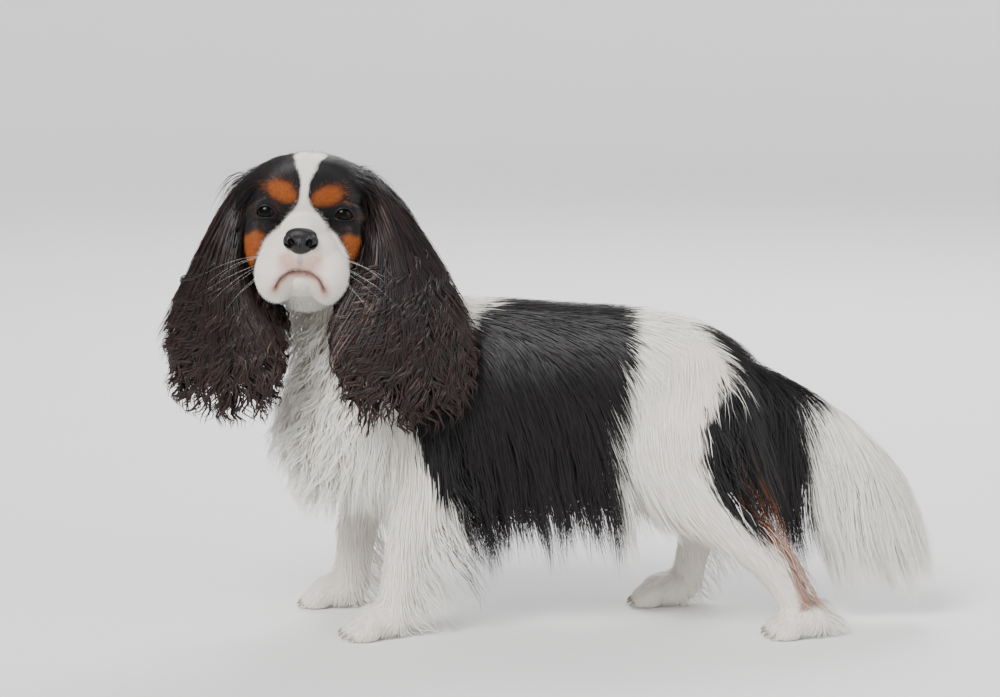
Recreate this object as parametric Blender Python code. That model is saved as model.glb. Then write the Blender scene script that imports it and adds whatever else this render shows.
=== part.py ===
"""A life-size cavalier king charles spaniel, standing, with its head turned to its left side.

Metres, +Z up. The dog faces -X and its left side is at -Y. The head faces -Y. The body is modelled
whole, as a remeshed union of lofts, and parted with thin cuts. The head is modelled in a frame of
its own, with its origin between the eyes, facing -Y. The hair is added to each node afterwards.
"""

import math
import random
from collections import namedtuple

import bmesh
import bpy
import numpy as np
from mathutils import Euler, Matrix, Vector
from mathutils.bvhtree import BVHTree

# The gap that touching nodes keep, and the width by which a neighbour is grown before it cuts hair.
GAP = 0.0006
CLEARANCE = 0.0004

# Each loft is a row of stations: x, y, z of its centre, half its width across, half its height.
TORSO = (
    (-0.186, 0.000, 0.206, 0.026, 0.030),
    (-0.165, 0.000, 0.212, 0.052, 0.062),
    (-0.115, 0.000, 0.222, 0.072, 0.086),
    (-0.050, 0.000, 0.230, 0.079, 0.090),
    (0.010, 0.000, 0.232, 0.080, 0.087),
    (0.070, 0.000, 0.234, 0.077, 0.081),
    (0.130, 0.000, 0.237, 0.071, 0.074),
    (0.180, 0.000, 0.234, 0.065, 0.066),
    (0.215, 0.000, 0.229, 0.052, 0.054),
    (0.236, 0.000, 0.224, 0.030, 0.034),
)
NECK = (
    (-0.070, 0.000, 0.230, 0.066, 0.086),
    (-0.112, -0.002, 0.292, 0.060, 0.068),
    (-0.143, -0.012, 0.342, 0.053, 0.054),
    (-0.163, -0.026, 0.384, 0.048, 0.048),
    (-0.172, -0.034, 0.410, 0.040, 0.040),
)
FORE_LEG_LEFT = (
    (-0.068, -0.036, 0.225, 0.030, 0.055),
    (-0.062, -0.050, 0.180, 0.029, 0.044),
    (-0.066, -0.057, 0.145, 0.026, 0.034),
    (-0.084, -0.060, 0.100, 0.021, 0.025),
    (-0.094, -0.062, 0.055, 0.019, 0.021),
    (-0.100, -0.063, 0.020, 0.020, 0.022),
)
FORE_LEG_RIGHT = (
    (-0.085, 0.036, 0.225, 0.030, 0.055),
    (-0.092, 0.050, 0.180, 0.029, 0.044),
    (-0.110, 0.056, 0.145, 0.026, 0.034),
    (-0.136, 0.057, 0.100, 0.021, 0.025),
    (-0.144, 0.057, 0.055, 0.019, 0.021),
    (-0.148, 0.057, 0.020, 0.020, 0.022),
)
HIND_LEG_LEFT = (
    (0.172, -0.034, 0.240, 0.030, 0.050),
    (0.166, -0.046, 0.195, 0.034, 0.062),
    (0.176, -0.055, 0.150, 0.029, 0.047),
    (0.215, -0.060, 0.109, 0.022, 0.029),
    (0.258, -0.062, 0.071, 0.018, 0.023),
    (0.274, -0.062, 0.043, 0.017, 0.019),
    (0.287, -0.062, 0.018, 0.018, 0.019),
)
HIND_LEG_RIGHT = (
    (0.162, 0.034, 0.240, 0.030, 0.050),
    (0.148, 0.046, 0.195, 0.034, 0.062),
    (0.136, 0.055, 0.150, 0.029, 0.047),
    (0.160, 0.060, 0.112, 0.022, 0.029),
    (0.194, 0.062, 0.082, 0.018, 0.023),
    (0.190, 0.062, 0.048, 0.017, 0.019),
    (0.184, 0.062, 0.018, 0.019, 0.020),
)
TAIL = (
    (0.200, 0.000, 0.250, 0.022, 0.030),
    (0.235, 0.000, 0.252, 0.019, 0.024),
    (0.275, 0.000, 0.232, 0.016, 0.020),
    (0.315, 0.000, 0.207, 0.014, 0.017),
    (0.350, 0.000, 0.180, 0.011, 0.013),
    (0.372, 0.000, 0.150, 0.006, 0.007),
)
# A paw: its centre on the floor, the way it points, in degrees round from -X towards -Y.
PAWS = {
    "fore_left": (-0.112, -0.066, 18.0),
    "fore_right": (-0.160, 0.058, -4.0),
    "hind_left": (0.290, -0.063, 8.0),
    "hind_right": (0.168, 0.062, -4.0),
}
PAW_HALF = (0.030, 0.024, 0.019)
TOE_HALF = (0.015, 0.0075, 0.0105)
TOE_SPREAD = 0.0125
SOLE_HEIGHT = 0.0020

# The head's place and turn, and its forms: centre and half sizes, in the head's own frame.
HEAD_ORIGIN = Vector((-0.1795, -0.085, 0.4065))
HEAD_TURN = Euler((math.radians(-6.0), math.radians(2.0), math.radians(-1.0)))
HEAD_MIDDLE_FORMS = (
    ((0.0, 0.046, 0.010), (0.056, 0.062, 0.048)),
    ((0.0, 0.036, 0.022), (0.052, 0.042, 0.033)),
    ((0.0, 0.014, 0.016), (0.046, 0.032, 0.036)),
    ((0.0, -0.010, -0.019), (0.022, 0.034, 0.021)),
    ((0.0, -0.011, -0.036), (0.035, 0.033, 0.028)),
    ((0.0, -0.002, -0.074), (0.024, 0.033, 0.017)),
    ((0.0, 0.036, -0.052), (0.040, 0.044, 0.036)),
)
HEAD_SIDE_FORMS = (
    ((0.036, 0.022, -0.026), (0.023, 0.036, 0.040)),
    ((0.0215, -0.015, -0.054), (0.0225, 0.026, 0.026)),
    ((0.033, 0.040, 0.020), (0.022, 0.034, 0.026)),
)
EYE_CENTRE = Vector((0.0350, 0.003, 0.0))
EYE_RADIUS = 0.0120
LID_THICKNESS = 0.0022
# Half the width of the opening between the lids, its height above the middle and below it.
LID_OPENING = (0.0092, 0.0058, 0.0052)
# The way the eyes look, in degrees outwards from straight ahead.
EYE_OUTWARDS = 6.0
NOSE_CENTRE = Vector((0.0, -0.0385, -0.0245))
NOSE_HALF = (0.0162, 0.0110, 0.0128)
NOSTRIL = ((0.0098, -0.0090, -0.0040), (0.0038, 0.0050, 0.0042))
NOSTRIL_SLIT = ((0.0145, -0.0055, -0.0062), (0.0045, 0.0045, 0.0014))
# The line of the mouth on one side: x and z of points of the groove, and the groove's radius.
MOUTH = (
    (0.0, -0.036),
    (0.0, -0.0525),
    (0.008, -0.0565),
    (0.016, -0.064),
    (0.024, -0.0715),
    (0.034, -0.078),
)
GROOVE = 0.0011

# The ears hang from the sides of the skull: stations down each leathery flap, in world axes.
EAR_LEFT = (
    (-0.134, -0.030, 0.437, 0.018, 0.012),
    (-0.117, -0.048, 0.416, 0.026, 0.012),
    (-0.101, -0.070, 0.380, 0.034, 0.012),
    (-0.093, -0.091, 0.335, 0.042, 0.013),
    (-0.087, -0.101, 0.295, 0.036, 0.011),
    (-0.085, -0.104, 0.270, 0.018, 0.006),
)
EAR_RIGHT = (
    (-0.226, -0.026, 0.435, 0.018, 0.012),
    (-0.240, -0.040, 0.414, 0.022, 0.012),
    (-0.250, -0.052, 0.380, 0.030, 0.012),
    (-0.256, -0.058, 0.335, 0.038, 0.013),
    (-0.258, -0.060, 0.295, 0.034, 0.011),
    (-0.259, -0.060, 0.270, 0.018, 0.006),
)
# The way from each flap's edge at -X to the other: the outer edge lies further back.
EAR_ACROSS = {"ear_left": (0.94, 0.34, 0.0), "ear_right": (0.88, -0.47, 0.0)}
EAR_CUP = ((0.0, 0.012, -0.045), (0.016, 0.007, 0.026))

COAT = (0.82, 0.80, 0.75)
COLOURS = {
    "nose": (0.02, 0.02, 0.02),
    "eye_left": (0.02, 0.01, 0.008),
    "eye_right": (0.02, 0.01, 0.008),
    "ear_left": (0.05, 0.03, 0.02),
    "ear_right": (0.05, 0.03, 0.02),
    "torso_rear": (0.05, 0.04, 0.035),
}

VOXEL = 0.0050
BODY_TRIANGLES = 2300
HEAD_VOXEL = 0.0026
HEAD_TRIANGLES = 1200
HEAD_SHARE = 0.66

# The thin cuts that part the body: a point, a normal, and half the length and width of the cut.
CUTS = {
    "neck_base": ((-0.105, 0.0, 0.285), (-0.55, 0.0, 0.83), (0.130, 0.130)),
    "waist": ((0.062, 0.0, 0.230), (1.0, 0.0, 0.0), (0.130, 0.130)),
    "tail_root": ((0.264, 0.0, 0.238), (0.87, 0.0, -0.50), (0.040, 0.040)),
    "elbow_left": ((-0.072, -0.062, 0.134), (0.0, 0.0, 1.0), (0.050, 0.040)),
    "elbow_right": ((-0.116, 0.062, 0.134), (0.0, 0.0, 1.0), (0.050, 0.040)),
    "wrist_left": ((-0.098, -0.063, 0.036), (0.0, 0.0, 1.0), (0.042, 0.035)),
    "wrist_right": ((-0.147, 0.057, 0.036), (0.0, 0.0, 1.0), (0.042, 0.035)),
    "stifle_left": ((0.185, -0.062, 0.150), (0.0, 0.0, 1.0), (0.080, 0.050)),
    "stifle_right": ((0.139, 0.062, 0.150), (0.0, 0.0, 1.0), (0.070, 0.050)),
    "hock_left": ((0.260, -0.062, 0.067), (0.56, 0.0, -0.83), (0.036, 0.035)),
    "hock_right": ((0.193, 0.062, 0.072), (0.05, 0.0, -1.0), (0.036, 0.035)),
}
# Long hair, tier by tier. A tier is a row of locks, evenly spaced from its first root to its last.
# ways are the directions of its first and last lock, and faces the ways that their flat sides look.
Tier = namedtuple("Tier", "count roots ways faces lengths width fall")
BOTH_SIDES = {
    "neck": (
        Tier(
            3,
            ((-0.150, -0.060, 0.350), (-0.085, -0.070, 0.320)),
            ((0.1, -0.1, -1.0), (0.4, -0.1, -1.0)),
            ((0.3, -1, 0.1), (0.3, -1, 0.1)),
            (0.066, 0.074),
            0.026,
            0.06,
        ),
    ),
    "torso_front": (
        Tier(
            4,
            ((-0.030, -0.050, 0.160), (0.050, -0.050, 0.164)),
            ((0.1, -0.3, -1.0), (0.2, -0.3, -1.0)),
            ((0, -1, 0), (0, -1, 0)),
            (0.072, 0.090),
            0.025,
            0.05,
        ),
    ),
    "torso_rear": (
        Tier(
            3,
            ((0.070, -0.050, 0.168), (0.118, -0.046, 0.172)),
            ((0.2, -0.3, -1.0), (0.4, -0.3, -1.0)),
            ((0, -1, 0), (0, -1, 0)),
            (0.090, 0.076),
            0.023,
            0.05,
        ),
        Tier(
            2,
            ((0.112, -0.080, 0.205), (0.164, -0.080, 0.180)),
            ((0.6, -0.4, -1.0), (0.7, -0.3, -1.0)),
            ((0, -1, 0), (0, -1, 0)),
            (0.084, 0.070),
            0.028,
            0.05,
        ),
        Tier(
            5,
            ((0.240, -0.022, 0.226), (0.222, -0.062, 0.166)),
            ((0.50, -0.1, -1.0), (0.70, -0.2, -1.0)),
            ((0, -1, 0), (0, -1, 0)),
            (0.138, 0.092),
            0.023,
            0.04,
        ),
    ),
}
MIDDLE = {
    "neck": (
        Tier(
            4,
            ((-0.195, -0.044, 0.338), (-0.190, 0.034, 0.330)),
            ((-0.6, -0.2, -1.0), (-0.6, 0.2, -1.0)),
            ((-0.7, -0.7, 0), (-0.7, 0.7, 0)),
            (0.094, 0.094),
            0.034,
            0.06,
        ),
        Tier(
            4,
            ((-0.185, -0.056, 0.285), (-0.185, 0.056, 0.285)),
            ((-0.8, -0.3, -1.0), (-0.8, 0.3, -1.0)),
            ((-0.7, -0.7, 0), (-0.7, 0.7, 0)),
            (0.090, 0.090),
            0.036,
            0.08,
        ),
    ),
    "torso_front": (
        Tier(
            5,
            ((-0.182, -0.056, 0.225), (-0.182, 0.056, 0.225)),
            ((-0.8, -0.2, -1.0), (-0.8, 0.2, -1.0)),
            ((-0.7, -0.7, 0), (-0.7, 0.7, 0)),
            (0.094, 0.094),
            0.031,
            0.08,
        ),
        Tier(
            4,
            ((-0.180, -0.036, 0.182), (-0.180, 0.036, 0.182)),
            ((-0.4, -0.2, -1.0), (-0.4, 0.2, -1.0)),
            ((-0.7, -0.7, 0), (-0.7, 0.7, 0)),
            (0.074, 0.074),
            0.025,
            0.05,
        ),
        Tier(
            2,
            ((-0.010, 0.0, 0.142), (0.050, 0.0, 0.152)),
            ((0.2, 0.0, -1.0), (0.2, 0.0, -1.0)),
            ((0, -1, 0), (0, -1, 0)),
            (0.050, 0.060),
            0.034,
            0.05,
        ),
    ),
    "tail": (
        Tier(
            6,
            ((0.276, -0.014, 0.224), (0.362, -0.008, 0.160)),
            ((0.40, -0.30, -1.0), (0.80, -0.20, -1.0)),
            ((0, -1, 0), (0, -1, 0)),
            (0.180, 0.128),
            0.028,
            0.04,
        ),
        Tier(
            6,
            ((0.272, 0.014, 0.226), (0.358, 0.008, 0.164)),
            ((0.40, 0.30, -1.0), (0.80, 0.20, -1.0)),
            ((0, 1, 0), (0, 1, 0)),
            (0.180, 0.128),
            0.028,
            0.04,
        ),
        Tier(
            5,
            ((0.284, 0.0, 0.210), (0.360, 0.0, 0.152)),
            ((0.25, 0.0, -1.0), (0.60, 0.0, -1.0)),
            ((0, -1, 0), (0, -1, 0)),
            (0.196, 0.150),
            0.030,
            0.03,
        ),
        Tier(
            3,
            ((0.318, 0.0, 0.218), (0.372, 0.0, 0.160)),
            ((1.0, 0.0, -0.75), (1.0, 0.0, -1.0)),
            ((0.4, -1, 0.4), (0.4, 1, 0.4)),
            (0.130, 0.110),
            0.026,
            0.09,
        ),
    ),
}
LEG_TIERS = {
    "fore_leg_left": (
        Tier(
            4,
            ((-0.042, -0.060, 0.128), (-0.074, -0.064, 0.052)),
            ((0.35, -0.1, -1.0), (0.7, 0.0, -1.0)),
            ((0, -1, 0), (0, -1, 0)),
            (0.088, 0.044),
            0.019,
            0.03,
        ),
        Tier(
            3,
            ((-0.048, -0.048, 0.118), (-0.072, -0.052, 0.060)),
            ((0.35, 0.2, -1.0), (0.6, 0.2, -1.0)),
            ((0, 1, 0), (0, 1, 0)),
            (0.080, 0.046),
            0.019,
            0.03,
        ),
    ),
    "fore_leg_right": (
        Tier(
            4,
            ((-0.088, 0.058, 0.128), (-0.122, 0.058, 0.052)),
            ((0.35, 0.1, -1.0), (0.7, 0.0, -1.0)),
            ((0, 1, 0), (0, 1, 0)),
            (0.080, 0.042),
            0.019,
            0.03,
        ),
        Tier(
            3,
            ((-0.094, 0.046, 0.118), (-0.122, 0.048, 0.060)),
            ((0.35, -0.2, -1.0), (0.6, -0.2, -1.0)),
            ((0, -1, 0), (0, -1, 0)),
            (0.074, 0.044),
            0.019,
            0.03,
        ),
    ),
    "hind_leg_left": (
        Tier(
            4,
            ((0.232, -0.062, 0.134), (0.268, -0.062, 0.090)),
            ((0.65, -0.1, -1.0), (0.6, 0.0, -1.0)),
            ((0, -1, 0), (0, -1, 0)),
            (0.072, 0.054),
            0.020,
            0.04,
        ),
    ),
    "hind_leg_right": (
        Tier(
            4,
            ((0.186, 0.060, 0.134), (0.206, 0.062, 0.090)),
            ((0.65, 0.1, -1.0), (0.6, 0.0, -1.0)),
            ((0, 1, 0), (0, 1, 0)),
            (0.072, 0.054),
            0.020,
            0.04,
        ),
    ),
    "hind_foot_left": (
        Tier(
            3,
            ((0.300, -0.070, 0.040), (0.304, -0.056, 0.026)),
            ((1.0, -0.2, -0.3), (1.0, 0.2, -0.2)),
            ((0, -0.5, 1), (0, 0.5, 1)),
            (0.038, 0.032),
            0.014,
            0.02,
        ),
    ),
    "hind_foot_right": (
        Tier(
            3,
            ((0.204, 0.070, 0.040), (0.200, 0.056, 0.026)),
            ((1.0, 0.2, -0.3), (1.0, -0.2, -0.2)),
            ((0, 0.5, 1), (0, -0.5, 1)),
            (0.036, 0.030),
            0.014,
            0.02,
        ),
    ),
    "fore_paw_left": (
        Tier(
            2,
            ((-0.086, -0.072, 0.024), (-0.086, -0.056, 0.018)),
            ((1.0, -0.2, -0.3), (1.0, 0.2, -0.2)),
            ((0, -0.5, 1), (0, 0.5, 1)),
            (0.030, 0.026),
            0.014,
            0.02,
        ),
    ),
    "fore_paw_right": (
        Tier(
            2,
            ((-0.134, 0.066, 0.024), (-0.134, 0.050, 0.018)),
            ((1.0, 0.2, -0.3), (1.0, -0.2, -0.2)),
            ((0, 0.5, 1), (0, -0.5, 1)),
            (0.030, 0.026),
            0.014,
            0.02,
        ),
    ),
}
# Tiers of an ear: how far down the flap, -1 for its front or 1 for its back, count and length.
EAR_TIERS = (
    (0.08, -1, 3, 0.100),
    (0.34, -1, 4, 0.104),
    (0.58, -1, 5, 0.106),
    (0.82, -1, 5, 0.096),
    (1.00, -1, 2, 0.070),
    (0.42, 1, 2, 0.104),
    (0.78, 1, 3, 0.094),
)
EAR_FAN = 0.80
EAR_WIDTH = 0.026
# A lock: its width and thickness along its length, as shares of its greatest width.
LOCK_WIDTHS = (0.60, 1.00, 0.96, 0.62)
LOCK_THICKNESS = 0.20
LOCK_SINK = 0.0050
LOCK_LIFT = 0.0030
LOCK_WAVE = 0.10
FLOOR_CLEARANCE = 0.0060
# The order in which nodes give way: each is cut clear of those before it.
ORDER = (
    "eye_left",
    "eye_right",
    "nose",
    "head",
    "torso_front",
    "torso_rear",
    "neck",
    "fore_leg_left",
    "fore_leg_right",
    "hind_leg_left",
    "hind_leg_right",
    "fore_paw_left",
    "fore_paw_right",
    "hind_foot_left",
    "hind_foot_right",
    "tail",
    "ear_left",
    "ear_right",
)
# Nodes with no locks, whose surface can be grown, and the ways in which the others are moved
# when they cut a later node clear.
SMOOTH = ("eye_left", "eye_right", "nose", "head")
CLEAR_WAYS = ((1, 1, 1), (1, -1, -1), (-1, 1, -1), (-1, -1, 1), (0, 0, 0))
# About where the middle of each parted piece lies, which tells the pieces apart.
BODY_NODES = {
    "neck": (-0.145, -0.010, 0.340),
    "torso_front": (-0.050, 0.0, 0.230),
    "torso_rear": (0.140, 0.0, 0.230),
    "tail": (0.310, 0.0, 0.210),
    "fore_leg_left": (-0.085, -0.060, 0.085),
    "fore_leg_right": (-0.135, 0.057, 0.085),
    "fore_paw_left": (-0.108, -0.065, 0.015),
    "fore_paw_right": (-0.156, 0.058, 0.015),
    "hind_leg_left": (0.215, -0.060, 0.107),
    "hind_leg_right": (0.165, 0.060, 0.112),
    "hind_foot_left": (0.284, -0.062, 0.025),
    "hind_foot_right": (0.180, 0.062, 0.030),
}


def spline(rows, steps):
    """The rows of numbers with steps - 1 more between each two, on a smooth curve through them."""
    rows = [np.array(row, float) for row in rows]
    ends = [2 * rows[0] - rows[1], *rows, 2 * rows[-1] - rows[-2]]
    found = []
    for a, b, c, d in zip(ends, ends[1:], ends[2:], ends[3:]):
        for k in range(steps):
            t = k / steps
            found.append(
                0.5 * (2 * b + (c - a) * t + (2 * a - 5 * b + 4 * c - d) * t**2
                       + (3 * b - a - 3 * c + d) * t**3)
            )
    return [*found, rows[-1]]


def object_of(mesh, name):
    """Turns a bmesh into an object of the scene."""
    data = bpy.data.meshes.new(name)
    mesh.to_mesh(data)
    mesh.free()
    made = bpy.data.objects.new(name, data)
    bpy.context.scene.collection.objects.link(made)
    return made


def loft(name, stations, across=(0, 1, 0), sides=20, steps=3):
    """A closed tube through the stations, whose width lies along across."""
    mesh = bmesh.new()
    rows = spline(stations, steps)
    centres = [Vector(row[:3]) for row in rows]
    rings = []
    for i, row in enumerate(rows):
        ahead = (centres[min(i + 1, len(rows) - 1)] - centres[max(i - 1, 0)]).normalized()
        side = (Vector(across) - Vector(across).dot(ahead) * ahead).normalized()
        up = ahead.cross(side)
        turns = [2 * math.pi * k / sides for k in range(sides)]
        rings.append(
            [
                mesh.verts.new(
                    centres[i] + side * (row[3] * math.cos(a)) + up * (row[4] * math.sin(a))
                )
                for a in turns
            ]
        )
    for low, high in zip(rings, rings[1:]):
        for k in range(sides):
            following = (k + 1) % sides
            mesh.faces.new((low[k], low[following], high[following], high[k]))
    mesh.faces.new(rings[0])
    mesh.faces.new(rings[-1])
    bmesh.ops.recalc_face_normals(mesh, faces=mesh.faces)
    return object_of(mesh, name)


def ellipsoid(name, centre, half, turn=Matrix.Identity(4), detail=(20, 14)):
    """A round form of three half sizes, turned and then set at its centre."""
    mesh = bmesh.new()
    place = Matrix.Translation(centre) @ turn @ Matrix.Diagonal((*half, 1.0))
    bmesh.ops.create_uvsphere(
        mesh, u_segments=detail[0], v_segments=detail[1], radius=1.0, matrix=place
    )
    return object_of(mesh, name)


def apply_modifiers(made):
    """Makes the object's evaluated mesh its own."""
    graph = bpy.context.evaluated_depsgraph_get()
    data = bpy.data.meshes.new_from_object(made.evaluated_get(graph))
    made.modifiers.clear()
    made.data = data
    return made


def remove(objects):
    """Takes these helper objects out of the scene."""
    for used in objects:
        bpy.data.objects.remove(used)


def boolean(made, tools, operation):
    """Joins the tools to the object or cuts them from it, and removes them."""
    group = bpy.data.collections.new("tools")
    bpy.context.scene.collection.children.link(group)
    for tool in tools:
        bpy.context.scene.collection.objects.unlink(tool)
        group.objects.link(tool)
    step = made.modifiers.new("join", "BOOLEAN")
    step.operation = operation
    step.operand_type = "COLLECTION"
    step.collection = group
    step.solver = "MANIFOLD"
    apply_modifiers(made)
    remove(tools)
    bpy.data.collections.remove(group)
    return made


def fused(name, pieces, voxel, triangles, rounds):
    """One smooth closed body from overlapping pieces, remeshed and then thinned."""
    mesh = bmesh.new()
    for piece in pieces:
        mesh.from_mesh(piece.data)
    remove(pieces)
    body = object_of(mesh, name)
    remesh = body.modifiers.new("skin", "REMESH")
    remesh.mode = "VOXEL"
    remesh.voxel_size = voxel
    soften = body.modifiers.new("soften", "SMOOTH")
    soften.factor = 0.5
    soften.iterations = rounds
    apply_modifiers(body)
    thin = body.modifiers.new("thin", "DECIMATE")
    thin.ratio = triangles / (2 * len(body.data.polygons))
    return apply_modifiers(body)


def islands(made):
    """Parts an object's mesh into its closed surfaces, largest first."""
    mesh = bmesh.new()
    mesh.from_mesh(made.data)
    left = set(mesh.verts)
    found = []
    while left:
        reached = {left.pop()}
        front = list(reached)
        while front:
            vertex = front.pop()
            for edge in vertex.link_edges:
                other = edge.other_vert(vertex)
                if other in left:
                    left.discard(other)
                    reached.add(other)
                    front.append(other)
        piece = mesh.copy()
        mesh.verts.index_update()
        keep = {vertex.index for vertex in reached}
        piece.verts.ensure_lookup_table()
        dropped = [vertex for vertex in piece.verts if vertex.index not in keep]
        bmesh.ops.delete(piece, geom=dropped, context="VERTS")
        found.append(piece)
    mesh.free()
    return sorted(found, key=lambda piece: -abs(piece.calc_volume()))


def largest(made):
    """Keeps only the object's largest closed surface."""
    pieces = islands(made)
    pieces[0].to_mesh(made.data)
    for piece in pieces:
        piece.free()
    return made


def moved(made, offset):
    """A copy of the object, moved by an offset."""
    mesh = bmesh.new()
    mesh.from_mesh(made.data)
    mesh.transform(Matrix.Translation(offset))
    return object_of(mesh, made.name + "_moved")


def grown(made, width):
    """A copy of the object with its surface moved outwards by width."""
    mesh = bmesh.new()
    mesh.from_mesh(made.data)
    mesh.normal_update()
    for vertex in mesh.verts:
        vertex.co += vertex.normal * width
    return object_of(mesh, made.name + "_grown")


def slab(name, point, normal, half):
    """A thin square plate that parts what it passes through."""
    mesh = bmesh.new()
    turn = Vector((0, 0, 1)).rotation_difference(Vector(normal)).to_matrix().to_4x4()
    size = Matrix.Diagonal((2 * half[0], 2 * half[1], GAP, 1.0))
    place = Matrix.Translation(point) @ turn @ size
    bmesh.ops.create_cube(mesh, size=1.0, matrix=place)
    return object_of(mesh, name)


def flat_soles(made):
    """Levels all that lies below the sole height, so that the paws stand on small flats."""
    for vertex in made.data.vertices:
        vertex.co.z = max(vertex.co.z, SOLE_HEIGHT)


def paw(name):
    """The pieces of one paw: its pad and four toes, spread across the way it points."""
    x, y, degrees = PAWS[name]
    turn = Matrix.Rotation(math.radians(degrees), 4, "Z")
    centre = Vector((x, y, PAW_HALF[2] - SOLE_HEIGHT))
    pieces = [ellipsoid(name + "_pad", centre, PAW_HALF, turn)]
    for k in (-1.5, -0.5, 0.5, 1.5):
        ahead = PAW_HALF[0] * (0.86 - 0.10 * abs(k))
        offset = turn @ Vector((-ahead, k * TOE_SPREAD, -PAW_HALF[2] + TOE_HALF[2]))
        pieces.append(ellipsoid(name + "_toe", centre + offset, TOE_HALF, turn))
    return pieces


def body():
    """The trunk, neck, legs and tail as one mesh, parted by the cuts into named nodes."""
    lofts = {
        "torso": TORSO,
        "neck": NECK,
        "fore_leg_left": FORE_LEG_LEFT,
        "fore_leg_right": FORE_LEG_RIGHT,
        "hind_leg_left": HIND_LEG_LEFT,
        "hind_leg_right": HIND_LEG_RIGHT,
        "tail": TAIL,
    }
    pieces = [loft(name, stations) for name, stations in lofts.items()]
    for name in PAWS:
        pieces += paw(name)
    whole = fused("body", pieces, VOXEL, BODY_TRIANGLES, 5)
    flat_soles(whole)
    boolean(whole, [slab(name, *cut) for name, cut in CUTS.items()], "DIFFERENCE")
    nodes = {}
    for piece in islands(whole):
        points = [vertex.co for vertex in piece.verts]
        middle = sum(points, Vector()) / len(points)
        name = min(BODY_NODES, key=lambda n: (Vector(BODY_NODES[n]) - middle).length)
        if name in nodes:
            piece.free()
        else:
            nodes[name] = object_of(piece, name)
    remove([whole])
    return nodes


def on_head(made):
    """Moves what was modelled in the head's frame to its place on the dog."""
    made.data.transform(Matrix.Translation(HEAD_ORIGIN) @ HEAD_TURN.to_matrix().to_4x4())
    return made


def mirrored(point, side):
    """The point on the given side of the head: 1 for the dog's left and -1 for its right."""
    return Vector((point[0] * side, point[1], point[2]))


def eye_turn(side):
    """How an eye is turned outwards."""
    return Matrix.Rotation(math.radians(EYE_OUTWARDS) * side, 4, "Z")


def prism(name, outline, place, depth):
    """A closed prism on an outline of (x, z) points, that runs from y = 0 to y = -depth."""
    mesh = bmesh.new()
    near = [mesh.verts.new((x, 0.0, z)) for x, z in outline]
    far = [mesh.verts.new((x, -depth, z)) for x, z in outline]
    mesh.faces.new(near)
    mesh.faces.new(far)
    for k in range(len(outline)):
        after = (k + 1) % len(outline)
        mesh.faces.new((near[k], near[after], far[after], far[k]))
    bmesh.ops.recalc_face_normals(mesh, faces=mesh.faces)
    mesh.transform(place)
    return object_of(mesh, name)


def lid_opening(side):
    """The almond between the lids of one eye, as a prism that points out of the eye."""
    width, above, below = LID_OPENING
    turns = [2 * math.pi * k / 16 for k in range(16)]
    outline = [
        (width * math.cos(a), (above if math.sin(a) > 0 else below) * math.sin(a)) for a in turns
    ]
    place = Matrix.Translation(mirrored(EYE_CENTRE, side)) @ eye_turn(side)
    return prism("opening", outline, place, 0.030)


def tree_of(made):
    mesh = bmesh.new()
    mesh.from_mesh(made.data)
    found = BVHTree.FromBMesh(mesh)
    mesh.free()
    return found


def joined_tree(objects):
    """A tree of the surfaces of several objects."""
    mesh = bmesh.new()
    for made in objects:
        mesh.from_mesh(made.data)
    found = BVHTree.FromBMesh(mesh)
    mesh.free()
    return found


def groove(tree, line, side):
    """A thin tube half sunk in the front of the head, along a line of x and z."""
    points = []
    for x, z in spline(line, 2):
        hit = tree.ray_cast(Vector((x * side, -0.2, z)), Vector((0.0, 1.0, 0.0)))[0]
        if hit:
            points.append((hit.x, hit.y + 0.3 * GROOVE, hit.z, GROOVE, GROOVE))
    return loft("groove", points, across=(0, 1, 0.01), sides=5, steps=1)


def head():
    """The skull, muzzle and chin, with lids round the eyes, lips and the line of the mouth."""
    pieces = [ellipsoid("form", centre, half) for centre, half in HEAD_MIDDLE_FORMS]
    for side in (-1, 1):
        pieces += [
            ellipsoid("form", mirrored(centre, side), half) for centre, half in HEAD_SIDE_FORMS
        ]
        lid = (EYE_RADIUS + LID_THICKNESS,) * 3
        pieces.append(ellipsoid("lid", mirrored(EYE_CENTRE, side), lid))
    skull = fused("head", pieces, HEAD_VOXEL, HEAD_TRIANGLES, 6)
    tree = tree_of(skull)
    tools = [ellipsoid("seat", NOSE_CENTRE, [h + CLEARANCE for h in NOSE_HALF], detail=(16, 12))]
    for side in (-1, 1):
        socket = (EYE_RADIUS + 2 * CLEARANCE,) * 3
        tools.append(ellipsoid("socket", mirrored(EYE_CENTRE, side), socket, detail=(14, 10)))
        tools.append(lid_opening(side))
        tools.append(groove(tree, MOUTH, side))
    for tool in tools:
        boolean(skull, [tool], "DIFFERENCE")
    thin = skull.modifiers.new("thin", "DECIMATE")
    thin.ratio = HEAD_SHARE
    return largest(apply_modifiers(skull))


def nose():
    """The nose leather, with its two nostrils and the slits at their sides."""
    leather = ellipsoid("nose", NOSE_CENTRE, NOSE_HALF, detail=(12, 9))
    for side in (-1, 1):
        for centre, half in (NOSTRIL, NOSTRIL_SLIT):
            place = NOSE_CENTRE + mirrored(centre, side)
            boolean(leather, [ellipsoid("nostril", place, half, detail=(8, 6))], "DIFFERENCE")
    return largest(leather)


def ear(name, stations):
    """The flap of an ear, with the shallow cup on its inner side."""
    flap = loft(name, stations, across=EAR_ACROSS[name], sides=12, steps=2)
    cup = Vector(stations[1][:3]) + Vector(EAR_CUP[0])
    return boolean(flap, [ellipsoid("cup", cup, EAR_CUP[1], detail=(10, 8))], "DIFFERENCE")


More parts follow.
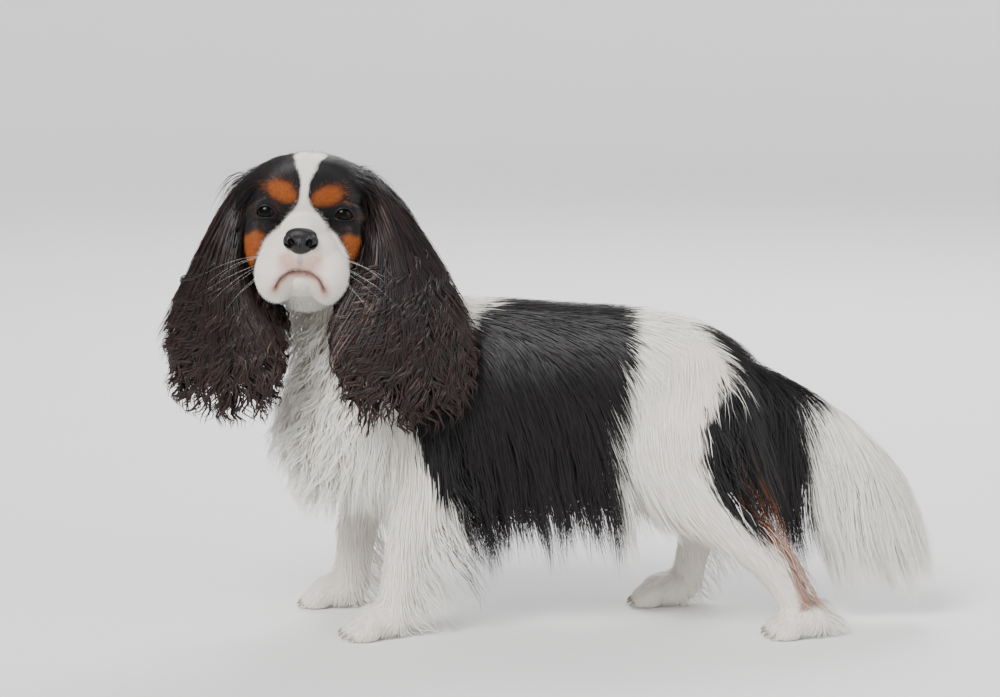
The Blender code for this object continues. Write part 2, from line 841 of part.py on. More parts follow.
def lock_line(root, normal, way, length, fall, tree, sway, lift):
    """The middle line of a lock: along its way from its root, drawn down and kept off the body."""
    count = len(LOCK_WIDTHS)
    point = Vector(root)
    way = Vector(way).normalized()
    line = [point - normal * LOCK_SINK]
    stride = length / (2 * count)
    for k in range(2 * count):
        way = (way + Vector((0.0, 0.0, -fall))).normalized()
        side = way.cross(normal).normalized()
        point = point + (way + side * sway * math.sin(1.1 * k)) * stride
        place, out, _, distance = tree.find_nearest(point)
        if (point - place).dot(out) < lift:
            point = place + out * lift
        point.z = max(point.z, FLOOR_CLEARANCE)
        if k % 2:
            line.append(point.copy())
    return line


def lock(line, face, width):
    """A flat lock that tapers to its tip, with three sides and the flat one against the body.

    Its rings are parallel, so that it can't pass through itself where it bends.
    """
    mesh = bmesh.new()
    rings = []
    ahead = (line[-1] - line[0]).normalized()
    side = ahead.cross(face).normalized()
    up = side.cross(ahead)
    for k, share in enumerate(LOCK_WIDTHS):
        half = side * (width * share / 2)
        high = up * (width * LOCK_THICKNESS * (0.5 + 0.5 * share))
        corners_here = (line[k] - half - high / 3, line[k] + half - high / 3, line[k] + high * 0.67)
        rings.append([mesh.verts.new(corner) for corner in corners_here])
    for low, high in zip(rings, rings[1:]):
        for k in range(3):
            after = (k + 1) % 3
            mesh.faces.new((low[k], low[after], high[after], high[k]))
    tip = mesh.verts.new(line[-1])
    for k in range(3):
        mesh.faces.new((rings[-1][k], rings[-1][(k + 1) % 3], tip))
    mesh.faces.new(rings[0])
    bmesh.ops.recalc_face_normals(mesh, faces=mesh.faces)
    return object_of(mesh, "lock")


def tier_locks(core, tree, others, tier, draw):
    """The locks of one tier, rooted on the core's surface and lifted off the other cores."""
    found = []
    own = tree_of(core)
    for k in range(tier.count):
        share = (k + 0.5) / tier.count + draw.uniform(-0.2, 0.2) / tier.count
        root = Vector(tier.roots[0]).lerp(Vector(tier.roots[1]), share)
        way = Vector(tier.ways[0]).lerp(Vector(tier.ways[1]), share)
        length = tier.lengths[0] + (tier.lengths[1] - tier.lengths[0]) * share
        place, normal, _, _ = own.find_nearest(root)
        face = Vector(tier.faces[0]).lerp(Vector(tier.faces[1]), share).normalized()
        length *= draw.uniform(0.92, 1.04)
        sway = draw.uniform(-1.0, 1.0) * LOCK_WAVE
        width = tier.width * draw.uniform(0.9, 1.1)
        for lift in (1, 2, 3):
            line = lock_line(
                place, normal, way, length, tier.fall, tree, sway, lift * LOCK_LIFT
            )
            made = lock(line, face, width)
            if lift == 3 or not others.overlap(tree_of(made)):
                break
            remove([made])
        found.append(made)
    return found


def flipped(points):
    """The points on the other side of the body."""
    return tuple((x, -y, z) for x, y, z in points)


def mirrored_tier(tier):
    """The tier on the other side of the body."""
    return tier._replace(
        roots=flipped(tier.roots), ways=flipped(tier.ways), faces=flipped(tier.faces)
    )


def ear_tiers(name, stations):
    """The tiers of one ear, laid across its flap from edge to edge and spread like a fan."""
    rows = spline(stations, 8)
    across = Vector(EAR_ACROSS[name]).normalized()
    found = []
    for down, face, count, length in EAR_TIERS:
        *centre, half_width, half_depth = rows[round(down * (len(rows) - 1))]
        out = face * Vector((-across.y, across.x, 0.0))
        edges = [across * (s * half_width * 0.9) for s in (-1, 1)]
        roots = [Vector(centre) + edge + out * half_depth for edge in edges]
        fan = EAR_FAN * min(1.0, 0.4 + 1.2 * down)
        lean = 0.10 if face < 0 else -0.04
        ways = [across * (s * fan) + lean * out + Vector((0, 0, -1)) for s in (-1, 1)]
        found.append(Tier(count, roots, ways, (out, out), (length, length), EAR_WIDTH, 0.05))
    return found


def long_hair(nodes):
    """Roots each node's locks in its core and joins them to it."""
    tree = joined_tree(nodes.values())
    tiers = {name: list(found) for name, found in LEG_TIERS.items()}
    for name, found in MIDDLE.items():
        tiers[name] = list(found)
    for name, found in BOTH_SIDES.items():
        tiers.setdefault(name, []).extend([*found, *map(mirrored_tier, found)])
    tiers["ear_left"] = ear_tiers("ear_left", EAR_LEFT)
    tiers["ear_right"] = ear_tiers("ear_right", EAR_RIGHT)
    haired = {}
    for name, found in tiers.items():
        draw = random.Random(name)
        others = joined_tree([core for other, core in nodes.items() if other != name])
        locks = []
        for tier in found:
            locks += tier_locks(nodes[name], tree, others, tier, draw)
        haired[name] = locks
    for name, locks in haired.items():
        boolean(nodes[name], locks, "UNION")
        largest(nodes[name])


def clearing_tools(other, width):
    """What cuts a node clear of another: the other one grown, or copies moved in four ways."""
    if other.name in SMOOTH:
        return [grown(other, width)]
    return [moved(other, width * Vector(way)) for way in CLEAR_WAYS]


def cut_clear(nodes):
    """Cuts each node clear of the nodes before it in the order, again where a cut falls short."""
    for i, name in enumerate(ORDER):
        others = [nodes[other] for other in ORDER[:i] if near(nodes[name], nodes[other])]
        for share in (1.0, 0.7):
            width = share * CLEARANCE
            for tool in [tool for other in others for tool in clearing_tools(other, width)]:
                if tree_of(nodes[name]).overlap(tree_of(tool)):
                    boolean(nodes[name], [tool], "DIFFERENCE")
                else:
                    remove([tool])
            largest(nodes[name])


def corners(made):
    """The lowest and highest corners of an object."""
    points = np.array([vertex.co for vertex in made.data.vertices])
    return points.min(axis=0), points.max(axis=0)


def near(first, second):
    """Whether the boxes round two nodes meet."""
    low_a, high_a = corners(first)
    low_b, high_b = corners(second)
    return bool((low_a - 0.001 < high_b).all() and (low_b - 0.001 < high_a).all())


def centred(nodes):
    """Moves the dog so that the middle of its box's floor is the origin."""
    boxes = [corners(node) for node in nodes.values()]
    low = np.min([box[0] for box in boxes], axis=0)
    high = np.max([box[1] for box in boxes], axis=0)
    shift = Vector((-(low[0] + high[0]) / 2, -(low[1] + high[1]) / 2, -low[2]))
    for node in nodes.values():
        node.data.transform(Matrix.Translation(shift))
    return shift


def finish(name, made):
    """Gives a node its own material."""
    material = bpy.data.materials.new(name)
    material.use_nodes = True
    shader = material.node_tree.nodes["Principled BSDF"]
    shader.inputs["Base Color"].default_value = (*COLOURS.get(name, COAT), 1.0)
    shader.inputs["Roughness"].default_value = 0.8
    made.data.materials.clear()
    made.data.materials.append(material)


def main():
    """Builds the nodes."""
    remove(list(bpy.data.objects))
    nodes = body()
    nodes["head"] = on_head(head())
    for side, name in ((1, "eye_left"), (-1, "eye_right")):
        ball = ellipsoid(name, mirrored(EYE_CENTRE, side), (EYE_RADIUS,) * 3, detail=(12, 9))
        nodes[name] = on_head(ball)
    nodes["nose"] = on_head(nose())
    nodes["ear_left"] = ear("ear_left", EAR_LEFT)
    nodes["ear_right"] = ear("ear_right", EAR_RIGHT)
    long_hair(nodes)
    cut_clear(nodes)
    centred(nodes)
    for name, made in nodes.items():
        finish(name, made)


if __name__ == "__main__":
    main()
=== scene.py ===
"""A life-size cavalier king charles spaniel, standing side on with its face turned to the viewer.

One skin is modelled over the solids' own stations, the coat is grown on it in tapered tufts that
follow its lie, and the eyes, lids, nose, lips, whiskers and claws are made on their own.
"""

from __future__ import annotations

import logging
import math
from collections.abc import Callable
from dataclasses import dataclass, field
from enum import Enum

import bpy
import numpy as np
from mathutils import Euler, Matrix, Vector
from mathutils.bvhtree import BVHTree
from mathutils.kdtree import KDTree


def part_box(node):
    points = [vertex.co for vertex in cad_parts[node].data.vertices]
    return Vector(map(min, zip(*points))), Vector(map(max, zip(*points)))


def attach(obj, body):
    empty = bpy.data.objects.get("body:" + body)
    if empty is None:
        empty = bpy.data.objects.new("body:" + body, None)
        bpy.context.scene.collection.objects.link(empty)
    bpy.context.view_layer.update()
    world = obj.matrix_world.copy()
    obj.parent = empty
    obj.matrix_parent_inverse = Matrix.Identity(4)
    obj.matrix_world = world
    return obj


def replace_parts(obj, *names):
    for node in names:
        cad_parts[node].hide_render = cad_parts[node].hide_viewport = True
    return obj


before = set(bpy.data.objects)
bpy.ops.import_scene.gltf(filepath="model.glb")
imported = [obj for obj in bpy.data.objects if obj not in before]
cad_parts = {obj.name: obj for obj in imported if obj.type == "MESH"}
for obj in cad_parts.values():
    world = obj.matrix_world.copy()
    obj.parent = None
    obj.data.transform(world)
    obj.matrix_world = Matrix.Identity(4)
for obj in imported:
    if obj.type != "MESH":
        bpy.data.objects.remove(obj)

LOG = logging.getLogger("spaniel")

Array = np.ndarray
Chance = np.random.Generator
Piece = bpy.types.Object
Socket = bpy.types.NodeSocket
Node = bpy.types.Node
Tree = bpy.types.NodeTree
Values = dict[str | int, object]
Triple = tuple[float, float, float]
Row = tuple[float, float, float, float, float]
Rows = tuple[Row, ...]
Colour = tuple[float, float, float, float]
Pair = tuple[float, float]
Outline = tuple[Pair, ...]
Form = tuple[Triple, Triple]
Forms = tuple[Form, ...]
Growths = list[tuple] | tuple[tuple, ...]

# The head's two sides: the dog's right and its left.
SIDES = (-1.0, 1.0)
# Farther than any point of the dog.
FAR = 1e9

# Stations of the body: x, y, z, half width across and half height, from one end to the other.
TORSO: Rows = (
    (-0.186, 0.0, 0.206, 0.026, 0.030),
    (-0.165, 0.0, 0.212, 0.052, 0.062),
    (-0.115, 0.0, 0.222, 0.072, 0.086),
    (-0.050, 0.0, 0.230, 0.079, 0.090),
    (0.010, 0.0, 0.232, 0.080, 0.087),
    (0.070, 0.0, 0.234, 0.077, 0.081),
    (0.130, 0.0, 0.237, 0.071, 0.074),
    (0.180, 0.0, 0.234, 0.065, 0.066),
    (0.215, 0.0, 0.226, 0.052, 0.050),
    (0.236, 0.0, 0.224, 0.030, 0.034),
)
NECK: Rows = (
    (-0.070, 0.0, 0.230, 0.066, 0.086),
    (-0.112, -0.002, 0.292, 0.060, 0.068),
    (-0.143, -0.012, 0.342, 0.053, 0.054),
    (-0.163, -0.026, 0.384, 0.048, 0.048),
    (-0.172, -0.034, 0.410, 0.040, 0.040),
)
FORE_LEFT: Rows = (
    (-0.068, -0.036, 0.225, 0.030, 0.055),
    (-0.062, -0.050, 0.180, 0.029, 0.044),
    (-0.066, -0.057, 0.145, 0.026, 0.034),
    (-0.084, -0.060, 0.100, 0.021, 0.025),
    (-0.094, -0.062, 0.055, 0.019, 0.021),
    (-0.100, -0.063, 0.020, 0.020, 0.022),
)
FORE_RIGHT: Rows = (
    (-0.085, 0.036, 0.225, 0.030, 0.055),
    (-0.092, 0.050, 0.180, 0.029, 0.044),
    (-0.110, 0.056, 0.145, 0.026, 0.034),
    (-0.136, 0.057, 0.100, 0.021, 0.025),
    (-0.144, 0.057, 0.055, 0.019, 0.021),
    (-0.148, 0.057, 0.020, 0.020, 0.022),
)
HIND_LEFT: Rows = (
    (0.172, -0.034, 0.240, 0.030, 0.050),
    (0.166, -0.046, 0.195, 0.034, 0.062),
    (0.176, -0.055, 0.150, 0.029, 0.047),
    (0.215, -0.060, 0.109, 0.022, 0.029),
    (0.258, -0.062, 0.071, 0.018, 0.023),
    (0.274, -0.062, 0.043, 0.017, 0.019),
    (0.287, -0.062, 0.018, 0.018, 0.019),
)
HIND_RIGHT: Rows = (
    (0.162, 0.034, 0.240, 0.030, 0.050),
    (0.148, 0.046, 0.195, 0.034, 0.062),
    (0.136, 0.055, 0.150, 0.029, 0.047),
    (0.160, 0.060, 0.112, 0.022, 0.029),
    (0.194, 0.062, 0.082, 0.018, 0.023),
    (0.190, 0.062, 0.048, 0.017, 0.019),
    (0.184, 0.062, 0.018, 0.019, 0.020),
)
TAIL: Rows = (
    (0.200, 0.0, 0.242, 0.022, 0.030),
    (0.235, 0.0, 0.237, 0.019, 0.023),
    (0.275, 0.0, 0.219, 0.016, 0.020),
    (0.315, 0.0, 0.198, 0.014, 0.017),
    (0.350, 0.0, 0.173, 0.011, 0.013),
    (0.372, 0.0, 0.148, 0.006, 0.007),
)
EAR_LEFT: Rows = (
    (-0.134, -0.030, 0.437, 0.018, 0.012),
    (-0.117, -0.048, 0.416, 0.026, 0.012),
    (-0.101, -0.070, 0.380, 0.034, 0.012),
    (-0.093, -0.091, 0.335, 0.042, 0.013),
    (-0.087, -0.101, 0.295, 0.036, 0.011),
    (-0.085, -0.104, 0.270, 0.018, 0.006),
)
EAR_RIGHT: Rows = (
    (-0.226, -0.026, 0.435, 0.018, 0.012),
    (-0.240, -0.040, 0.414, 0.022, 0.012),
    (-0.250, -0.052, 0.380, 0.030, 0.012),
    (-0.256, -0.058, 0.335, 0.038, 0.013),
    (-0.258, -0.060, 0.295, 0.034, 0.011),
    (-0.259, -0.060, 0.270, 0.018, 0.006),
)
EAR_ACROSS: dict[str, Triple] = {"ear_left": (0.94, 0.34, 0.0), "ear_right": (0.88, -0.47, 0.0)}
# A paw: x and y of its middle and the degrees by which it is turned out.
PAWS: dict[str, Triple] = {
    "fore_left": (-0.112, -0.066, 18.0),
    "fore_right": (-0.160, 0.058, -4.0),
    "hind_left": (0.290, -0.063, 8.0),
    "hind_right": (0.168, 0.062, -4.0),
}
PAW_HALF: Triple = (0.030, 0.024, 0.019)
TOE_HALF: Triple = (0.015, 0.0075, 0.0105)
TOE_SPREAD = 0.0125
SOLE_HEIGHT = 0.0020
TOES = (-1.5, -0.5, 0.5, 1.5)

# The widths of what lies across the head, a little off the upright so that no tube is flat on it.
LEVEL: Triple = (0.0, 1.0, 0.01)
# The head's own frame: x to the dog's left, y backwards and z up, from a point between the eyes.
HEAD_ORIGIN = Vector((-0.1795, -0.085, 0.4065))
HEAD_TURN = Euler((math.radians(-6.0), math.radians(2.0), math.radians(-1.0))).to_matrix()
HEAD_MIDDLE: Forms = (
    ((0.0, 0.046, 0.010), (0.056, 0.062, 0.048)),
    ((0.0, 0.036, 0.022), (0.052, 0.042, 0.033)),
    ((0.0, 0.014, 0.016), (0.046, 0.032, 0.036)),
    ((0.0, -0.010, -0.019), (0.022, 0.034, 0.021)),
    ((0.0, -0.011, -0.036), (0.035, 0.033, 0.028)),
    ((0.0, 0.036, -0.052), (0.040, 0.044, 0.036)),
)
LIP_HOLLOW: Form = ((0.0, -0.0450, -0.0800), (0.0235, 0.0130, 0.0275))
LOWER_LIP: Form = ((0.0, -0.0070, -0.0620), (0.0180, 0.0250, 0.0125))
HEAD_SIDES: Forms = (
    ((0.036, 0.022, -0.026), (0.023, 0.036, 0.040)),
    ((0.0225, -0.0155, -0.0545), (0.0220, 0.0255, 0.0260)),
    ((0.033, 0.040, 0.020), (0.022, 0.034, 0.026)),
)
EYE_CENTRE: Triple = (0.0350, 0.003, 0.0)
EYE_RADIUS = 0.0120
EYE_OUTWARDS = 6.0
LID_THICKNESS = 0.0022
LID_OPENING = (0.0100, 0.0060)
NOSE_CENTRE: Triple = (0.0, -0.0385, -0.0245)
MOUTH: Outline = (
    (0.0, -0.0522), (0.0070, -0.0532), (0.0130, -0.0560), (0.0175, -0.0600), (0.0205, -0.0645),
    (0.0222, -0.0685),
)


class Region(Enum):
    """The forms of the body, each with a coat of its own."""

    TORSO = 0
    NECK = 1
    FORE_LEFT = 2
    FORE_RIGHT = 3
    HIND_LEFT = 4
    HIND_RIGHT = 5
    TAIL = 6
    EAR_LEFT = 7
    EAR_RIGHT = 8
    PAWS = 9
    HEAD = 10


TUBES: dict[Region, Rows] = dict(
    zip(
        Region,
        (TORSO, NECK, FORE_LEFT, FORE_RIGHT, HIND_LEFT, HIND_RIGHT, TAIL, EAR_LEFT, EAR_RIGHT),
    )
)
# How far the skin lies inside the solids' surface, under the short part of the coat.
DEPTHS: dict[Region, float] = dict(zip(TUBES, (0.0050,) * 2 + (0.0030,) * 5 + (0.0035,) * 2))


def row_shift() -> Vector:
    """The step from the stations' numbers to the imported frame, read from the left eye's node."""
    low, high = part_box("eye_left")
    return (low + high) / 2 - on_head(Vector(EYE_CENTRE))


def on_head(point: Vector) -> Vector:
    """A point of the head's own frame, on the dog."""
    return HEAD_ORIGIN + HEAD_TURN @ point


def head_local(points: Array) -> Array:
    """Points on the dog, in the head's own frame, as rows of three."""
    return (points - np.array(HEAD_ORIGIN)) @ np.array(HEAD_TURN)


def spline(rows: list | tuple, steps: int) -> Array:
    """Puts steps - 1 more rows between each two, on a smooth curve through them all.

    Args:
        rows: Rows of numbers.
        steps: How many pieces each gap is divided into.

    Returns:
        The rows as an array.
    """
    given = [np.array(row, float) for row in rows]
    ends = [2 * given[0] - given[1], *given, 2 * given[-1] - given[-2]]
    found = []
    for a, b, c, d in zip(ends, ends[1:], ends[2:], ends[3:]):
        for k in range(steps):
            t = k / steps
            cubic = (2 * a - 5 * b + 4 * c - d) * t**2 + (3 * b - a - 3 * c + d) * t**3
            found.append(0.5 * (2 * b + (c - a) * t + cubic))
    return np.array([*found, given[-1]])


def unit(rows: Array) -> Array:
    """The rows scaled to length one."""
    return rows / np.maximum(np.linalg.norm(rows, axis=-1, keepdims=True), 1e-9)


def smooth_step(value: Array, low: float, high: float) -> Array:
    """0 below low, 1 above high and a soft rise between."""
    t = np.clip((value - low) / (high - low), 0.0, 1.0)
    return t * t * (3 - 2 * t)


def wobble(points: Array, size: float, seed: int) -> Array:
    """A smooth uneven value from -1 to 1 that changes over about the given size.

    Args:
        points: Rows of three coordinates.
        size: The width of its waves in metres.
        seed: Picks one pattern.

    Returns:
        One value for each row.
    """
    draw = np.random.default_rng(seed)
    total = np.zeros(len(points))
    for k in range(7):
        way = unit(draw.normal(size=3))
        pitch = math.tau / (size * (0.6 + 0.35 * k))
        total += np.sin(points @ way * pitch + draw.uniform(0, math.tau))
    return total / 3.2


# Making and finishing meshes


def pick(*made: Piece) -> None:
    """Selects these objects alone, or none, and makes the first of them active."""
    bpy.ops.object.select_all(action="DESELECT")
    for piece in reversed(made):
        piece.select_set(True)
        bpy.context.view_layer.objects.active = piece


def edit_all() -> None:
    """Opens the active object's mesh with all of it selected."""
    bpy.ops.object.mode_set(mode="EDIT")
    bpy.ops.mesh.select_all(action="SELECT")


def active() -> Piece:
    """The object that the last operator made."""
    return bpy.context.view_layer.objects.active


def join(name: str, pieces: list[Piece]) -> Piece:
    """Makes one object of several, at the origin, with all normals outwards.

    Args:
        name: The name of the object.
        pieces: The objects to join.

    Returns:
        The joined object.
    """
    pick(*pieces)
    if len(pieces) > 1:
        bpy.ops.object.join()
    bpy.ops.object.transform_apply(location=True, rotation=True, scale=True)
    made = active()
    made.name = name
    edit_all()
    bpy.ops.mesh.normals_make_consistent(inside=False)
    bpy.ops.object.mode_set(mode="OBJECT")
    return made


def modify(made: Piece, kind: str, **settings: object) -> None:
    """Adds a modifier to the object and applies it.

    Args:
        made: The object.
        kind: The modifier's type.
        settings: Its properties.
    """
    pick(made)
    modifier = made.modifiers.new(kind.lower(), kind)
    for key, value in settings.items():
        setattr(modifier, key, value)
    bpy.ops.object.modifier_apply(modifier=modifier.name)


def combine(made: Piece, tool: Piece, operation: str) -> None:
    """Joins the tool to the object or cuts it out of it, and removes the tool.

    Args:
        made: The object that is changed.
        tool: The other object.
        operation: UNION or DIFFERENCE.
    """
    modify(made, "BOOLEAN", operation=operation, object=tool, solver="MANIFOLD")
    bpy.data.objects.remove(tool)


def tube(name: str, rows: Array, across: Triple, sides: int) -> Piece:
    """A closed tube: a circle is set at each station, and the circles are bridged and capped.

    Args:
        name: The name of the object.
        rows: Stations of x, y, z, half width and half height.
        across: The way in which the widths lie.
        sides: The number of sides.

    Returns:
        The tube.
    """
    centres = [Vector(row[:3]) for row in rows]
    last = len(rows) - 1
    rings = []
    pick()
    for i, row in enumerate(rows):
        ahead = (centres[min(i + 1, last)] - centres[max(i - 1, 0)]).normalized()
        side = (Vector(across) - Vector(across).dot(ahead) * ahead).normalized()
        turn = Matrix((side, ahead.cross(side), ahead)).transposed()
        bpy.ops.mesh.primitive_circle_add(
            vertices=sides, radius=1.0, location=centres[i], rotation=turn.to_euler()
        )
        rings.append(active())
        rings[-1].scale = (row[3], row[4], 1.0)
    pick(*rings)
    bpy.ops.object.join()
    edit_all()
    bpy.ops.mesh.bridge_edge_loops()
    bpy.ops.mesh.select_all(action="SELECT")
    bpy.ops.mesh.fill_holes(sides=0)
    bpy.ops.object.mode_set(mode="OBJECT")
    return join(name, [active()])


def ball(
    name: str, centre: Triple | Vector, half: Triple, turn: Matrix | None = None, fine: int = 24
) -> Piece:
    """A round form of three half sizes.

    Args:
        name: The name of the object.
        centre: Its middle.
        half: Its half sizes before it is turned.
        turn: How it is turned.
        fine: The number of segments round it.

    Returns:
        The form.
    """
    pick()
    bpy.ops.mesh.primitive_uv_sphere_add(
        segments=fine,
        ring_count=max(6, fine * 2 // 3),
        radius=1.0,
        location=centre,
        rotation=(turn or Matrix.Identity(3)).to_euler(),
        scale=half,
    )
    return join(name, [active()])


def toe_reach(toe: float) -> float:
    """How far ahead of its paw's middle a toe stands, by its number in TOES."""
    return PAW_HALF[0] * (0.86 - 0.10 * abs(toe))


def mirrored(point: Triple, side: float) -> Vector:
    """The point on the given side of the head, 1 for the dog's left and -1 for its right."""
    return Vector((point[0] * side, point[1], point[2]))


def upright(degrees: float) -> Matrix:
    """A turn about the upright axis."""
    return Matrix.Rotation(math.radians(degrees), 3, "Z")


def seat_on_head(made: Piece) -> Piece:
    """Moves what was modelled in the head's own frame to its place on the dog."""
    made.data.transform(Matrix.Translation(HEAD_ORIGIN) @ HEAD_TURN.to_4x4())
    return made


def smooth(made: Piece) -> Piece:
    """Shades an object smooth all over.

    Args:
        made: The object.

    Returns:
        The same object.
    """
    pick(made)
    bpy.ops.object.shade_smooth()
    return made


def remesh(made: Piece, voxel: float, passes: int) -> None:
    """Melts an object's forms into one closed skin and evens it.

    Args:
        made: The object.
        voxel: The size of the skin's faces.
        passes: How often it is evened.
    """
    modify(made, "REMESH", mode="VOXEL", voxel_size=voxel)
    modify(made, "SMOOTH", factor=0.5, iterations=passes)


def link_new(name: str, data: bpy.types.ID) -> Piece:
    """Puts a new object with this data in the scene.

    Args:
        name: Its name.
        data: Its mesh, light or camera.

    Returns:
        The object.
    """
    made = bpy.data.objects.new(name, data)
    bpy.context.scene.collection.objects.link(made)
    return made


def mesh_object(name: str, points: Array, triangles: Array) -> Piece:
    """An object of these points and triangles, shaded smooth.

    Args:
        name: The name of the object.
        points: Rows of three coordinates.
        triangles: Rows of three point numbers.

    Returns:
        The object.
    """
    data = bpy.data.meshes.new(name)
    count = len(triangles)
    data.vertices.add(len(points))
    data.vertices.foreach_set("co", points.astype(np.float32).ravel())
    data.loops.add(3 * count)
    data.loops.foreach_set("vertex_index", triangles.astype(np.int32).ravel())
    data.polygons.add(count)
    data.polygons.foreach_set("loop_start", np.arange(0, 3 * count, 3, dtype=np.int32))
    data.polygons.foreach_set("use_smooth", np.full(count, True))
    data.update(calc_edges=True)
    return link_new(name, data)


def store(made: Piece, name: str, rows: Array) -> None:
    """Stores a row of four numbers for each point of a mesh, for its finish to read."""
    layer = made.data.attributes.new(name, "FLOAT_COLOR", "POINT")
    layer.data.foreach_set("color", rows.astype(np.float32).ravel())


def settle(made: Piece, finish: "Finish") -> Piece:
    """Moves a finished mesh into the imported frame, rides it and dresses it.

    Args:
        made: The object, with its place in its mesh.
        finish: What it is finished with.

    Returns:
        The same object.
    """
    made.data.transform(Matrix.Translation(row_shift()))
    made.data.materials.clear()
    made.data.materials.append(finish.material())
    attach(made, "root")
    LOG.info("%s: %d faces", made.name, len(made.data.polygons))
    return made


# Markings


def outside(points: Array, outline: Outline) -> Array:
    """How far flat points lie outside a closed outline, negative inside it.

    Args:
        points: Rows of two coordinates.
        outline: The corners of the outline in order.

    Returns:
        One distance for each point.
    """
    corners = np.array(outline)
    after = np.roll(corners, -1, axis=0)
    nearest = np.full(len(points), FAR)
    within = np.zeros(len(points), bool)
    for a, b in zip(corners, after):
        edge = b - a
        share = np.clip((points - a) @ edge / (edge @ edge), 0, 1)
        nearest = np.minimum(nearest, np.linalg.norm(points - a - share[:, None] * edge, axis=1))
        rise = (a[1] > points[:, 1]) != (b[1] > points[:, 1])
        height = np.where(abs(b[1] - a[1]) < 1e-9, 1e-9, b[1] - a[1])
        reach = edge[0] * (points[:, 1] - a[1]) / height + a[0]
        within ^= rise & (points[:, 0] < reach)
    return np.where(within, -nearest, nearest)


def nearest_on_line(points: Array, line: Outline) -> Array:
    """How far flat points lie from a smooth line.

    Args:
        points: Rows of two coordinates.
        line: Places along the line.

    Returns:
        One distance for each point.
    """
    found = np.full(len(points), FAR)
    for x, y in spline(line, 8):
        found = np.minimum(found, np.hypot(points[:, 0] - x, points[:, 1] - y))
    return found


def wandered(flat: Array, points: Array, wander: Pair, seed: int) -> Array:
    """Flat points shifted unevenly, so that the edges of the markings wander.

    Args:
        flat: Rows of two coordinates.
        points: The same points' places on the dog.
        wander: How far the edges wander, and over what length.
        seed: Picks one pattern.

    Returns:
        The shifted points.
    """
    far, size = wander
    return flat + far * np.stack([wobble(points, size, seed), wobble(points, size, seed + 1)], axis=1)


